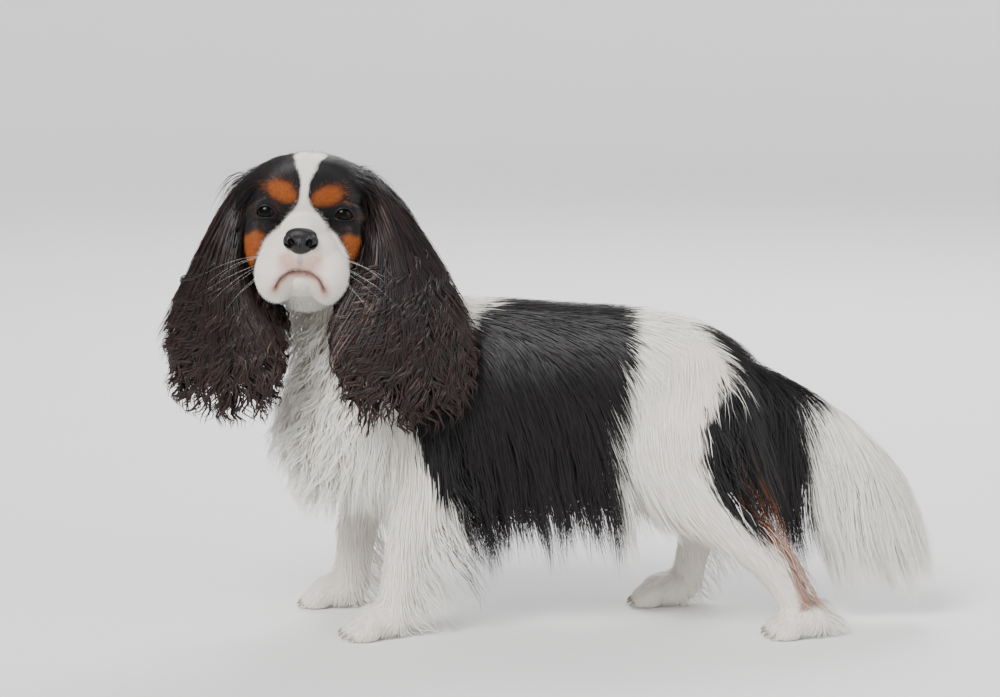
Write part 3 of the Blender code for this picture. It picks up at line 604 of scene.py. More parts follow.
@dataclass(frozen=True)
class Markings:
    """The three colours of the coat: where it is black, tan and pink, and white elsewhere.

    The outlines are seen from the side or, on the head, from in front, on the dog's left. A wander
    is how far an edge strays and over what length, and other_side shifts the dog's right. Edges are
    the softness of the coat's and the skin's. Shading is how much darker the crease of the lips,
    the groove over them and the chin are, and how tan the crease is: the chin's is painted shade,
    and the crease's and the groove's are partly dark hair and partly painted shade.
    """

    saddle: Outline = (
        (0.018, 0.345), (0.050, 0.345), (0.130, 0.340), (0.132, 0.262), (0.124, 0.205),
        (0.117, 0.150), (0.118, 0.020), (-0.030, 0.020), (-0.030, 0.100), (-0.056, 0.135),
        (-0.080, 0.190), (-0.098, 0.235), (-0.075, 0.285), (-0.026, 0.294), (-0.012, 0.311),
        (0.012, 0.322),
    )
    rump: Outline = (
        (0.188, 0.330), (0.190, 0.298), (0.206, 0.276), (0.226, 0.252), (0.240, 0.224),
        (0.216, 0.226), (0.186, 0.202), (0.190, 0.172), (0.200, 0.154), (0.198, 0.140),
        (0.209, 0.126), (0.232, 0.106), (0.262, 0.090), (0.276, 0.092), (0.296, 0.110),
        (0.300, 0.165), (0.318, 0.210), (0.330, 0.290),
    )
    white_face: Outline = (
        (-0.002, 0.080), (0.0140, 0.066), (0.0120, 0.050), (0.0066, 0.036), (0.0030, 0.026),
        (0.0028, 0.016), (0.0050, 0.008), (0.0110, 0.001), (0.0210, -0.010), (0.0300, -0.019),
        (0.0365, -0.028), (0.0405, -0.038), (0.0430, -0.050), (0.0440, -0.062), (0.0420, -0.120),
        (-0.002, -0.120),
    )
    cheek: Outline = (
        (0.0360, -0.020), (0.0430, -0.017), (0.0520, -0.020), (0.0600, -0.026), (0.0600, -0.048),
        (0.0500, -0.052), (0.0440, -0.046), (0.0390, -0.032),
    )
    brow: tuple[float, float, float, float] = (0.0205, 0.0192, 0.0146, 0.0086)
    stocking: Outline = (
        (0.246, 0.126), (0.276, 0.126), (0.314, 0.030), (0.284, 0.030),
    )
    wander: Pair = (0.0035, 0.03)
    face_wander: Pair = (0.0008, 0.012)
    other_side: Pair = (0.012, 40.0)
    nape: Triple = (-0.150, -0.040, 0.372)
    nape_slope: float = 0.9
    inner_leg: Pair = (0.030, 0.045)
    faded_tan: float = 0.74
    edges: Pair = (0.0012, 0.004)
    face_edges: Pair = (0.0006, 0.0015)
    brow_slant: Pair = (0.94, 0.34)
    brow_drop: float = 0.0030
    fleck: Triple = (0.0125, 0.0020, 0.12)
    tan_back: float = 0.028
    white_back: Triple = (0.030, 0.045, 0.03)
    muzzle_back: float = -0.01
    pink_spot: Triple = (0.010, -0.046, 0.010)
    crease: Pair = (0.0006, 0.0042)
    groove: Pair = (0.0008, 0.0046)
    groove_height: float = -0.044
    # Painted shade on the chin; in the crease and the groove, partly dark hair and partly painted
    # shade.
    shading: tuple[float, float, float, float] = (0.74, 0.42, 0.12, 0.42)

    def tones(self, points: Array, spread: float = 0.0, seed: int = 0) -> Array:
        """The colours at points of the body, as shares of white, tan and pink.

        Args:
            points: Rows of three coordinates, in the stations' numbers.
            spread: How far single tufts stray over an edge, or 0 for a soft edge.
            seed: Picks the strays.

        Returns:
            A row of three shares for each point.
        """
        draw = np.random.default_rng(seed)
        stray = draw.normal(size=len(points)) * spread
        edge = self.edges[0 if spread else 1]
        flat = wandered(points[:, [0, 2]], points, self.wander, 3)
        shift, pitch = self.other_side
        flat[:, 0] += np.where(points[:, 1] > 0, shift * np.sin(points[:, 2] * pitch), 0)
        dark = np.minimum(outside(flat, self.saddle), outside(flat, self.rump))
        x, y, z = self.nape
        nape = (points[:, 2] - z) - self.nape_slope * (points[:, 0] - x)
        dark = np.minimum(dark, np.where(points[:, 1] > y, -nape, 1.0))
        black = 1 - smooth_step(dark + stray, -edge, edge)
        tan = 1 - smooth_step(outside(flat, self.stocking) + stray, -edge, edge)
        tan = tan * smooth_step(abs(points[:, 1]), *self.inner_leg)
        white = (1 - black) * (1 - self.faded_tan * tan)
        return np.stack([white, tan, 0 * white], axis=1)

    def face(self, points: Array, spread: float = 0.0, seed: int = 0) -> Array:
        """The colours at points of the head, as shares of white, tan and pink.

        The white is darker under the chin as painted shade, and in the crease of the lips and the
        groove over them partly for dark hair and partly as painted shade.

        Args:
            points: Rows of three coordinates, in the stations' numbers.
            spread: How far single tufts stray over an edge, or 0 for a soft edge.
            seed: Picks the strays.

        Returns:
            A row of three shares for each point.
        """
        draw = np.random.default_rng(seed)
        stray = draw.normal(size=len(points)) * spread
        edge = self.face_edges[0 if spread else 1]
        local = head_local(points)
        half = np.stack([abs(local[:, 0]), local[:, 2]], axis=1)
        half = wandered(half, points, self.face_wander, 5)
        back, low, most = self.white_back
        behind = 0.8 * (local[:, 1] - back - 1.2 * np.clip(-local[:, 2] - low, 0, most))
        white = np.maximum(outside(half, self.white_face), behind)
        white = 1 - smooth_step(white + stray, -edge, edge)
        tan = self.tan_of_face(local, half) + 2.0 * stray
        tan = 1 - smooth_step(tan, -2 * edge, 2 * edge)
        ring, width, share = self.fleck
        fleck = np.hypot(half[:, 0] - EYE_CENTRE[0], half[:, 1] + 0.001)
        fleck = np.where(wobble(points, 0.006, 9) > 0.35, abs(fleck - ring) - width, 1.0)
        tan = np.maximum(tan, share * (1 - smooth_step(fleck, -edge, edge))) * (1 - white)
        front = white * (local[:, 1] < self.muzzle_back)
        lips = nearest_on_line(half, MOUTH)
        x, z, reach = self.pink_spot
        beside = np.hypot(half[:, 0] - x, half[:, 1] - z) - reach
        pink = 1 - smooth_step(np.minimum(lips - 0.0045, beside), -0.004, 0.005)
        loose = 1.4 * abs(stray)
        # The crease of the lips and the groove over them are darkened, partly for dark hair and
        # partly as painted shade.
        crease = 1 - smooth_step(lips + loose, *self.crease)
        groove = np.hypot(half[:, 0], 0.35 * (half[:, 1] - self.groove_height)) + loose
        groove = 1 - smooth_step(groove, *self.groove)
        # Painted shade: the white of the chin, set back under the flews, is darkened.
        chin = smooth_step(-local[:, 2], 0.056, 0.070) * (1 - smooth_step(half[:, 0], 0.013, 0.020))
        crease_dark_hair_and_shade, groove_dark_hair_and_shade, painted_chin_shade, tan_crease = self.shading
        dark_hair_and_shade = np.maximum(crease_dark_hair_and_shade * crease, groove_dark_hair_and_shade * groove)
        pale = white - front * dark_hair_and_shade - painted_chin_shade * white * chin
        tan = np.maximum(tan, tan_crease * front * crease)
        return np.stack([np.clip(pale, 0, 1), tan, pink * front], axis=1)

    def tan_of_face(self, local: Array, half: Array) -> Array:
        """How far points of the head lie outside the tan of the brows and cheeks.

        Args:
            local: Rows of three coordinates in the head's own frame.
            half: The same points' distance from the middle, and their height.

        Returns:
            One distance for each point.
        """
        x, z, wide, high = self.brow
        z = z - self.brow_drop * (local[:, 0] > 0)
        main, slant = self.brow_slant
        turned = (half[:, 0] - x) * main + (half[:, 1] - z) * slant
        raised = (half[:, 1] - z) * main - (half[:, 0] - x) * slant
        spot = (np.hypot(turned / wide, raised / high) - 1) * high
        return np.where(local[:, 1] > self.tan_back, 1.0, np.minimum(spot, outside(half, self.cheek)))


MARKINGS = Markings()


def triples(source: bpy.types.bpy_prop_collection, key: str, kind: type) -> Array:
    """Reads three numbers for each item of a collection.

    Args:
        source: The collection.
        key: The property that holds the numbers.
        kind: The numbers' type.

    Returns:
        Rows of three numbers.
    """
    values = np.empty(3 * len(source), kind)
    source.foreach_get(key, values)
    return values.reshape(-1, 3)


def paint(made: Piece, tones: Array, chance: Array, along: Array) -> None:
    """Stores the coat's shares of colour on a mesh, for its finish to read.

    Args:
        made: The object.
        tones: Shares of white, tan and pink at each point.
        chance: A value from 0 to 1 that differs between tufts.
        along: 0 at a tuft's root and 1 at its tip.
    """
    store(made, "shares", np.concatenate([tones, np.ones((len(tones), 1))], axis=1))
    store(made, "tuft", np.stack([chance, along, 0 * along, 0 * along + 1], axis=1))


# Finishes


class Nodes:
    """A short way to write the nodes of one material or group."""

    def __init__(self, tree: Tree) -> None:
        """Keeps the tree that the nodes go in."""
        self.tree = tree

    def fill(self, node: Node, values: Values) -> None:
        """Feeds a node's inputs.

        Args:
            node: The node.
            values: For each input's name or number, the socket to link to it or its plain value.
        """
        for key, value in values.items():
            if isinstance(value, Socket):
                self.tree.links.new(value, node.inputs[key])
            else:
                node.inputs[key].default_value = value

    def add(self, kind: str, values: Values | None = None, **settings: object) -> Node:
        """Adds a node, sets its properties and feeds its inputs.

        Args:
            kind: The node's type without its ShaderNode start.
            values: What its inputs are fed.
            settings: Its properties.

        Returns:
            The node.
        """
        node = self.tree.nodes.new("ShaderNode" + kind)
        for key, value in settings.items():
            setattr(node, key, value)
        self.fill(node, values or {})
        return node

    def mix(self, share: Socket | float, a: object, b: object, way: str = "MIX") -> Socket:
        """Mixes two colours, each a socket or four numbers.

        Args:
            share: How much of b there is.
            a: The first colour.
            b: The second colour.
            way: How they are mixed.

        Returns:
            The mixed colour's socket.
        """
        node = self.add("Mix", {0: share, 6: a, 7: b}, data_type="RGBA", blend_type=way)
        return node.outputs[2]

    def sum(self, way: str, *values: object) -> Socket:
        """One step of arithmetic on sockets and numbers."""
        return self.add("Math", dict(enumerate(values)), operation=way).outputs[0]

    def dim(self, colour: Socket, factor: Socket) -> Socket:
        """The colour multiplied by a factor."""
        grey = self.add("CombineColor", {0: factor, 1: factor, 2: factor})
        return self.mix(1.0, colour, grey.outputs[0], "MULTIPLY")

    def parts(self, name: str) -> list[Socket]:
        """The three parts of a colour that is stored on the mesh."""
        stored = self.add("Attribute", attribute_name=name).outputs["Color"]
        return list(self.add("SeparateColor", {0: stored}).outputs)

    def noise(self, scale: float, detail: float = 2.0, rough: float = 0.5) -> Socket:
        """A noise over the object's own coordinates.

        Args:
            scale: Waves in a metre.
            detail: Finer layers.
            rough: How strong they are.

        Returns:
            The value's socket.
        """
        where = self.add("TexCoord").outputs["Object"]
        values = {"Vector": where, "Scale": scale, "Detail": detail, "Roughness": rough}
        return self.add("TexNoise", values).outputs["Fac"]

    def bump(self, height: Socket, strength: float, deep: float) -> Socket:
        """A bump of the given height.

        Args:
            height: The height's socket.
            strength: Its strength.
            deep: Its depth in metres.

        Returns:
            The normal's socket.
        """
        values = {"Height": height, "Strength": strength, "Distance": deep}
        return self.add("Bump", values).outputs["Normal"]


def coat_colour_group() -> Tree:
    """The group that turns the coat's shares into a colour, with a paler tip and uneven tufts.

    The white hair is darker at its roots: painted shade deep in the coat.

    Returns:
        The group.
    """
    name = "coat colour"
    if name in bpy.data.node_groups:
        return bpy.data.node_groups[name]
    made = bpy.data.node_groups.new(name, "ShaderNodeTree")
    for label in ("Black", "Black tip", "White", "White root", "Tan", "Tan tip", "Pink"):
        made.interface.new_socket(label, in_out="INPUT", socket_type="NodeSocketColor")
    made.interface.new_socket("Color", in_out="OUTPUT", socket_type="NodeSocketColor")
    nodes = Nodes(made)
    given = made.nodes.new("NodeGroupInput").outputs
    pale, brown, rosy = nodes.parts("shares")[:3]
    chance, along = nodes.parts("tuft")[:2]
    tip = nodes.sum("MULTIPLY", nodes.sum("MULTIPLY", along, along), nodes.sum("ADD", chance, 0.25))
    black = nodes.mix(tip, given["Black"], given["Black tip"])
    streak = nodes.sum("MULTIPLY_ADD", nodes.noise(420.0, 3.0, 0.6), 2.6, -0.75)
    tan = nodes.mix(nodes.sum("MULTIPLY", tip, streak), given["Tan"], given["Tan tip"])
    # The white hair darkens towards its roots: painted shade deep in the coat.
    white = nodes.mix(nodes.sum("POWER", along, 0.5), given["White root"], given["White"])
    white = nodes.mix(nodes.sum("MULTIPLY", rosy, 0.90), white, given["Pink"])
    colour = nodes.mix(pale, nodes.mix(brown, black, tan), white)
    uneven = nodes.sum("MULTIPLY_ADD", pale, -0.22, 0.32)
    shade = nodes.sum("MULTIPLY_ADD", nodes.sum("SUBTRACT", chance, 0.5), uneven, 0.99)
    out = made.nodes.new("NodeGroupOutput")
    nodes.fill(out, {"Color": nodes.dim(colour, shade)})
    return made


class Finish:
    """A finish, which makes its material once."""

    label: str

    def material(self) -> bpy.types.Material:
        """The material of this finish, made on first use.

        Returns:
            The material.
        """
        found = bpy.data.materials.get(self.label)
        if found:
            return found
        made = bpy.data.materials.new(self.label)
        made.use_nodes = True
        nodes = Nodes(made.node_tree)
        nodes.fill(made.node_tree.nodes["Principled BSDF"], self.looks(nodes))
        return made

    def looks(self, nodes: Nodes) -> Values:
        """Adds this finish's nodes and gives what its shader's inputs are fed."""
        raise NotImplementedError


@dataclass(frozen=True)
class CoatFinish(Finish):
    """Hair in three colours, or the skin under it."""

    label: str = "coat"
    black: Colour = (0.0050, 0.0046, 0.0056, 1)
    black_tip: Colour = (0.017, 0.011, 0.0105, 1)
    white: Colour = (0.90, 0.87, 0.81, 1)
    # Painted shade: the white hair's roots are darker, as shade deep in the coat.
    shaded_white_root: Colour = (0.80, 0.755, 0.68, 1)
    tan: Colour = (0.20, 0.046, 0.007, 1)
    tan_tip: Colour = (0.76, 0.215, 0.026, 1)
    pink: Colour = (0.66, 0.42, 0.36, 1)
    roughness: float = 0.38
    specular: float = 0.32
    grain: float = 0.0
    grain_depth: float = 0.0015

    def looks(self, nodes: Nodes) -> Values:
        """The coat's colour, and a hair grain where the finish has one.

        Args:
            nodes: The material's nodes.

        Returns:
            What the shader's inputs are fed.
        """
        tones = nodes.add("Group", node_tree=coat_colour_group())
        given = (self.black, self.black_tip, self.white, self.shaded_white_root, self.tan, self.tan_tip)
        nodes.fill(tones, dict(enumerate((*given, self.pink))))
        found = {
            "Base Color": tones.outputs["Color"],
            "Roughness": self.roughness,
            "Specular IOR Level": self.specular,
        }
        if self.grain:
            height = nodes.noise(700.0, 5.0, 0.6)
            found["Normal"] = nodes.bump(height, self.grain, self.grain_depth)
        return found


@dataclass(frozen=True)
class EyeFinish(Finish):
    """A dark brown iris round a black pupil, under a wet cornea."""

    label: str = "eye"
    bands: tuple[tuple[float, Colour], ...] = (
        (0.0, (0.0012, 0.0010, 0.0010, 1)),
        (0.30, (0.0015, 0.0012, 0.0010, 1)),
        (0.33, (0.024, 0.009, 0.004, 1)),
        (0.54, (0.014, 0.005, 0.003, 1)),
        (0.62, (0.003, 0.002, 0.002, 1)),
        (0.67, (0.030, 0.022, 0.020, 1)),
    )
    streaks: float = 14.0
    roughness: float = 0.25
    wet: float = 0.45
    specular: float = 0.02

    def looks(self, nodes: Nodes) -> Values:
        """Rings of colour by the share of the eye's half turn away from its axis.

        Args:
            nodes: The material's nodes.

        Returns:
            What the shader's inputs are fed.
        """
        turn = nodes.add("Attribute", attribute_name="off_axis").outputs["Color"]
        part = nodes.add("SeparateColor", {0: turn})
        ramp = nodes.add("ValToRGB", {0: part.outputs[0]})
        stops = ramp.color_ramp.elements
        while len(stops) < len(self.bands):
            stops.new(0.5)
        for element, (at, colour) in zip(stops, self.bands):
            element.position = at
            element.color = colour
        streak = nodes.add("TexNoise", {"Vector": turn, "Scale": self.streaks}).outputs["Fac"]
        factor = nodes.sum("ADD", nodes.sum("MULTIPLY", streak, 0.9), 0.5)
        return {
            "Base Color": nodes.dim(ramp.outputs[0], factor),
            "Roughness": self.roughness,
            "Coat Weight": self.wet,
            "Coat Roughness": 0.02,
            "Coat IOR": 1.33,
            "Specular IOR Level": self.specular,
        }


@dataclass(frozen=True)
class LeatherFinish(Finish):
    """The bare leather of the nose, lids and lips, pebbled and a little wet."""

    label: str = "leather"
    colour: Colour = (0.0065, 0.006, 0.0072, 1)
    worn: Colour = (0.024, 0.022, 0.025, 1)
    roughness: float = 0.34
    uneven: float = 0.3
    specular: float = 0.45
    cells: float = 1500.0
    depth: float = 0.00025

    def looks(self, nodes: Nodes) -> Values:
        """Pebbles, an uneven colour and an uneven gloss.

        Args:
            nodes: The material's nodes.

        Returns:
            What the shader's inputs are fed.
        """
        where = nodes.add("TexCoord").outputs["Object"]
        cells = nodes.add("TexVoronoi", {"Vector": where, "Scale": self.cells})
        pebble = nodes.sum("SUBTRACT", 1.0, cells.outputs["Distance"])
        patch = nodes.noise(220.0, 3.0)
        share = nodes.sum("MULTIPLY", pebble, patch)
        least = self.roughness - self.uneven / 2
        return {
            "Base Color": nodes.mix(share, self.colour, self.worn),
            "Roughness": nodes.sum("MULTIPLY_ADD", patch, self.uneven, least),
            "Normal": nodes.bump(pebble, 0.6, self.depth),
            "Specular IOR Level": self.specular,
        }


@dataclass(frozen=True)
class StreakedFinish(Finish):
    """Horn, a stiff hair or the plain floor: one colour that drifts into another."""

    label: str = "claw"
    colour: Colour = (0.20, 0.155, 0.125, 1)
    streak: Colour = (0.46, 0.38, 0.31, 1)
    scale: float = 450.0
    roughness: float = 0.32

    def looks(self, nodes: Nodes) -> Values:
        """Streaks between the two colours.

        Args:
            nodes: The material's nodes.

        Returns:
            What the shader's inputs are fed.
        """
        colour = nodes.mix(nodes.noise(self.scale, 3.0), self.colour, self.streak)
        return {"Base Color": colour, "Roughness": self.roughness}


COAT = CoatFinish()
EAR_COAT = CoatFinish(
    label="ear coat",
    black=(0.0062, 0.0042, 0.0046, 1),
    black_tip=(0.036, 0.0140, 0.0110, 1),
    roughness=0.40,
)
SKIN = CoatFinish(label="skin", white=(0.74, 0.66, 0.60, 1), roughness=0.75, specular=0.2, grain=0.8)
EYE = EyeFinish()
NOSE = LeatherFinish(
    label="nose leather", worn=(0.015, 0.014, 0.016, 1), depth=0.0003, specular=0.32
)
LID = LeatherFinish(
    label="lid leather", worn=(0.010, 0.009, 0.010, 1), cells=2600.0, depth=0.0001, specular=0.18
)
LIP = LeatherFinish(
    label="lip leather", colour=(0.075, 0.038, 0.034, 1), worn=(0.20, 0.11, 0.10, 1), depth=0.0001
)
CLAW = StreakedFinish()
WHISKER = StreakedFinish("whisker", (0.80, 0.78, 0.74, 1), (0.9, 0.88, 0.84, 1))
FLOOR = StreakedFinish("floor", (0.80, 0.80, 0.79, 1), (0.776, 0.776, 0.7663, 1), 6.0, 0.75)


# The skin


@dataclass
class Skin:
    """The one skin of the dog, under all of its coat."""

    voxel: float = 0.0034
    head_voxel: float = 0.00125
    head_depth: float = 0.0014
    paw_depth: float = 0.0022
    toe_depth: float = 0.0008
    knuckle: Triple = (0.0095, 0.0066, 0.0085)
    nose_seat: Triple = (0.0150, 0.0100, 0.0116)
    socket_gap: float = 0.0002
    mouth_line: Pair = (0.0010, 0.0003)
    fold: Triple = (0.0118, 0.0078, 0.0142)
    fold_lift: float = 0.0026
    fold_thick: Pair = (0.0008, 0.0012)
    body: Piece = field(init=False, repr=False)

    def build(self) -> Piece:
        """Models the skin, colours it and readies it for the coat to be rooted in.

        Returns:
            The skin.
        """
        self.body = self.trunk()
        combine(self.body, self.head(), "UNION")
        self.body.name = "skin"
        self.read()
        smooth(self.body)
        points = self.points
        tones = MARKINGS.tones(points)
        regions = self.region_of(points)
        on_the_head = regions == Region.HEAD.value
        tones[on_the_head] = MARKINGS.face(points[on_the_head])
        tones[np.isin(regions, (Region.EAR_LEFT.value, Region.EAR_RIGHT.value))] = 0.0
        paint(self.body, tones, np.full(len(points), 0.4), np.full(len(points), 0.35))
        settle(self.body, SKIN)
        flesh = [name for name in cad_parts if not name.startswith(("eye", "nose"))]
        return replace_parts(self.body, *flesh)

    def trunk(self) -> Piece:
        """The trunk, neck, legs, paws, tail and ear flaps in one closed mesh.

        Returns:
            The mesh's object.
        """
        pieces = []
        for region, rows in TUBES.items():
            name = region.name.lower()
            fine = spline(rows, 3)
            fine[:, 3:] = np.maximum(fine[:, 3:] - DEPTHS[region], 0.0022)
            pieces.append(tube(name, fine, EAR_ACROSS.get(name, (0.0, 1.0, 0.0)), 20))
        for name in PAWS:
            pieces += self.paw(name)
        made = join("trunk", pieces)
        remesh(made, self.voxel, 4)
        for vertex in made.data.vertices:
            vertex.co.z = max(vertex.co.z, SOLE_HEIGHT + 0.0006)
        return made

    def paw(self, name: str) -> list[Piece]:
        """One paw: its pad, four toes and the knuckles over them.

        Args:
            name: Which paw.

        Returns:
            Its forms.
        """
        x, y, degrees = PAWS[name]
        turn = upright(degrees)
        centre = Vector((x, y, PAW_HALF[2] - SOLE_HEIGHT))
        slim = [size - self.paw_depth for size in PAW_HALF]
        small = [size - self.toe_depth for size in TOE_HALF]
        pieces = [ball(name, centre, slim, turn, 20)]
        for k in TOES:
            ahead = toe_reach(k)
            step = Vector((-ahead, k * TOE_SPREAD, -PAW_HALF[2] + TOE_HALF[2]))
            pieces.append(ball(name + "_toe", centre + turn @ step, small, turn, 16))
            back = Vector((-ahead * 0.62, k * TOE_SPREAD * 0.92, 0.001))
            pieces.append(ball(name + "_knuckle", centre + turn @ back, self.knuckle, turn, 14))
        return pieces

    def head(self) -> Piece:
        """The head with its lids, lips, seat of the nose and the line of the mouth.

        Returns:
            The head, in its place on the dog.
        """
        pieces = []
        for centre, half in HEAD_MIDDLE:
            pieces.append(ball("form", centre, [h - self.head_depth for h in half], fine=40))
        for side in SIDES:
            for centre, half in HEAD_SIDES:
                slim = [h - self.head_depth for h in half]
                pieces.append(ball("form", mirrored(centre, side), slim, fine=32))
            lid = EYE_RADIUS + LID_THICKNESS
            pieces.append(ball("lid", mirrored(EYE_CENTRE, side), (lid,) * 3, fine=40))
            pieces.append(self.lid_fold(side))
        made = join("head", pieces)
        remesh(made, self.head_voxel, 5)
        combine(made, ball("hollow", *LIP_HOLLOW, fine=32), "DIFFERENCE")
        combine(made, ball("jaw", *LOWER_LIP, fine=32), "UNION")
        remesh(made, self.head_voxel, 3)
        combine(made, ball("seat", NOSE_CENTRE, self.nose_seat), "DIFFERENCE")
        tree = BVHTree.FromPolygons(
            [v.co for v in made.data.vertices], [p.vertices for p in made.data.polygons]
        )
        for side in SIDES:
            socket = EYE_RADIUS + self.socket_gap
            combine(made, ball("socket", mirrored(EYE_CENTRE, side), (socket,) * 3), "DIFFERENCE")
            combine(made, Eye(side).opening(), "DIFFERENCE")
            rows = mouth_rows(tree, side, *self.mouth_line)
            combine(made, tube("groove", rows, LEVEL, 8), "DIFFERENCE")
        return seat_on_head(made)

    def lid_fold(self, side: float) -> Piece:
        """The soft fold of skin over an upper lid.

        Args:
            side: 1 for the dog's left and -1 for its right.

        Returns:
            The fold.
        """
        centre = mirrored(EYE_CENTRE, side)
        wide, tall, radius = self.fold
        thin, thicker = self.fold_thick
        rows = []
        for degrees in range(15, 170, 15):
            a = math.radians(degrees)
            x, z = wide * math.cos(a), self.fold_lift + tall * math.sin(a)
            y = -math.sqrt(max(radius**2 - x * x - z * z, 1e-6))
            thick = thin + thicker * math.sin(a)
            rows.append((centre.x + side * x, centre.y + y, centre.z + z, thick, thick))
        return tube("fold", spline(rows, 2), LEVEL, 8)

    def read(self) -> None:
        """Keeps the skin's points, triangles and normals as arrays, with a search tree."""
        data = self.body.data
        data.calc_loop_triangles()
        self.points = triples(data.vertices, "co", np.float32).astype(float)
        self.normals = triples(data.vertices, "normal", np.float32).astype(float)
        self.triangles = triples(data.loop_triangles, "vertices", np.int32)
        a, b, c = (self.points[self.triangles[:, k]] for k in range(3))
        self.areas = np.linalg.norm(np.cross(b - a, c - a), axis=1) / 2
        self.middles = (a + b + c) / 3
        self.face_regions = self.region_of(self.middles)
        self.tree = BVHTree.FromPolygons(self.points.tolist(), self.triangles.tolist())
        LOG.info("skin: %d triangles", len(self.triangles))

    def region_of(self, points: Array) -> Array:
        """The region that each point of the skin belongs to, as the numbers of Region.

        Args:
            points: Rows of three coordinates.

        Returns:
            One number for each row.
        """
        forms = []
        for region, rows in TUBES.items():
            forms += [(region, points, row[:3], max(row[3], row[4])) for row in spline(rows, 4)]
        for x, y, _ in PAWS.values():
            forms.append((Region.PAWS, points, (x, y, PAW_HALF[2]), PAW_HALF[0]))
        local = head_local(points)
        for centre, half in (*HEAD_MIDDLE, *HEAD_SIDES, LOWER_LIP):
            forms += [(Region.HEAD, local, np.array(centre) * (side, 1, 1), half) for side in SIDES]
        found = np.full((len(points), len(Region)), FAR)
        for region, places, centre, half in forms:
            gap = np.linalg.norm((places - centre) / half, axis=1)
            found[:, region.value] = np.minimum(found[:, region.value], gap)
        return found.argmin(axis=1)

    def clear(self, points: Array, height: Array) -> Array:
        """Moves points that lie less than a height over the skin out to that height.

        Args:
            points: Rows of three coordinates.
            height: The least height of each.

        Returns:
            The points, moved where they must be.
        """
        moved = points.copy()
        for i, point in enumerate(points.tolist()):
            near, normal, _, far = self.tree.find_nearest(point, 0.03)
            if near is None:
                continue
            over = (Vector(point) - near).dot(normal)
            if over < height[i] and far < max(0.02, height[i]):
                moved[i] = near + normal * height[i]
        return moved


def mouth_rows(tree: BVHTree, side: float, radius: float, sunk: float) -> Array:
    """Stations along the line of the mouth, on the front of the head.

    Args:
        tree: The head's surface, in its own frame.
        side: 1 for the dog's left and -1 for its right.
        radius: The half width of the line.
        sunk: How deep its middle lies.

    Returns:
        Stations for a tube.
    """
    rows = []
    for x, z in spline(MOUTH, 4):
        hit = tree.ray_cast(Vector((x * side, -0.2, z)), Vector((0.0, 1.0, 0.0)))[0]
        if hit:
            rows.append((hit.x, hit.y + sunk, hit.z, radius, radius))
    return np.array(rows)


# The coat


# How deep the tufts are rooted, and the least heights of their paths and of their locks.
ROOT_DEPTH = 0.0012
LOWEST_PATH = 0.0035
LOWEST_HAIR = 0.0030
# The size on the bake map of the patch that a tuft has to itself.
PATCH = 0.003


@dataclass
class Tufts:
    """The tufts of one piece: the points of each from root to tip, and how each one grows."""

    points: Array
    normals: Array
    lengths: Array
    waves: Array
    roots: Array


@dataclass(frozen=True)
class Growth:
    """How the coat grows near one place."""

    place: Triple | Array
    way: Triple | Array
    length: float
    rise: float
    wave: float = 0.0


class Flow:
    """The lie of the coat over a part of the body, blended between places."""

    def __init__(
        self, rows: Growths, mirror: int | None = None, sharp: float = 2.0, on_head: bool = False
    ) -> None:
        """Reads the places, with their mirror images where asked.

        Args:
            rows: How the coat grows at some places, each as the values of a Growth.
            mirror: The axis across which they are mirrored, or None.
            sharp: How strongly the nearest place wins.
            on_head: Whether they are given in the head's own frame.
        """
        grown = [Growth(*row) for row in rows]
        places = np.array([row.place for row in grown], float)
        ways = unit(np.array([row.way for row in grown], float))
        sizes = np.array([(row.length, row.rise, row.wave) for row in grown], float)
        if mirror is not None:
            flip = np.ones(3)
            flip[mirror] = -1
            places = np.concatenate([places, places * flip])
            ways = np.concatenate([ways, ways * flip])
            sizes = np.concatenate([sizes, sizes])
        self.places, self.ways, self.sizes = places, ways, sizes
        self.sharp, self.on_head = sharp, on_head

    def at(self, points: Array) -> tuple[Array, Array]:
        """The lie and the sizes of the coat at some points.

        Args:
            points: Rows of three coordinates, on the dog.

        Returns:
            The ways, and rows of length, rise and wave.
        """
        if self.on_head:
            points = head_local(points)
        gap = ((points[:, None, :] - self.places[None]) ** 2).sum(axis=2)
        weight = 1 / (gap + 1e-6) ** self.sharp
        weight /= weight.sum(axis=1, keepdims=True)
        ways = unit(weight @ self.ways)
        if self.on_head:
            ways = ways @ np.array(HEAD_TURN).T
        return ways, weight @ self.sizes


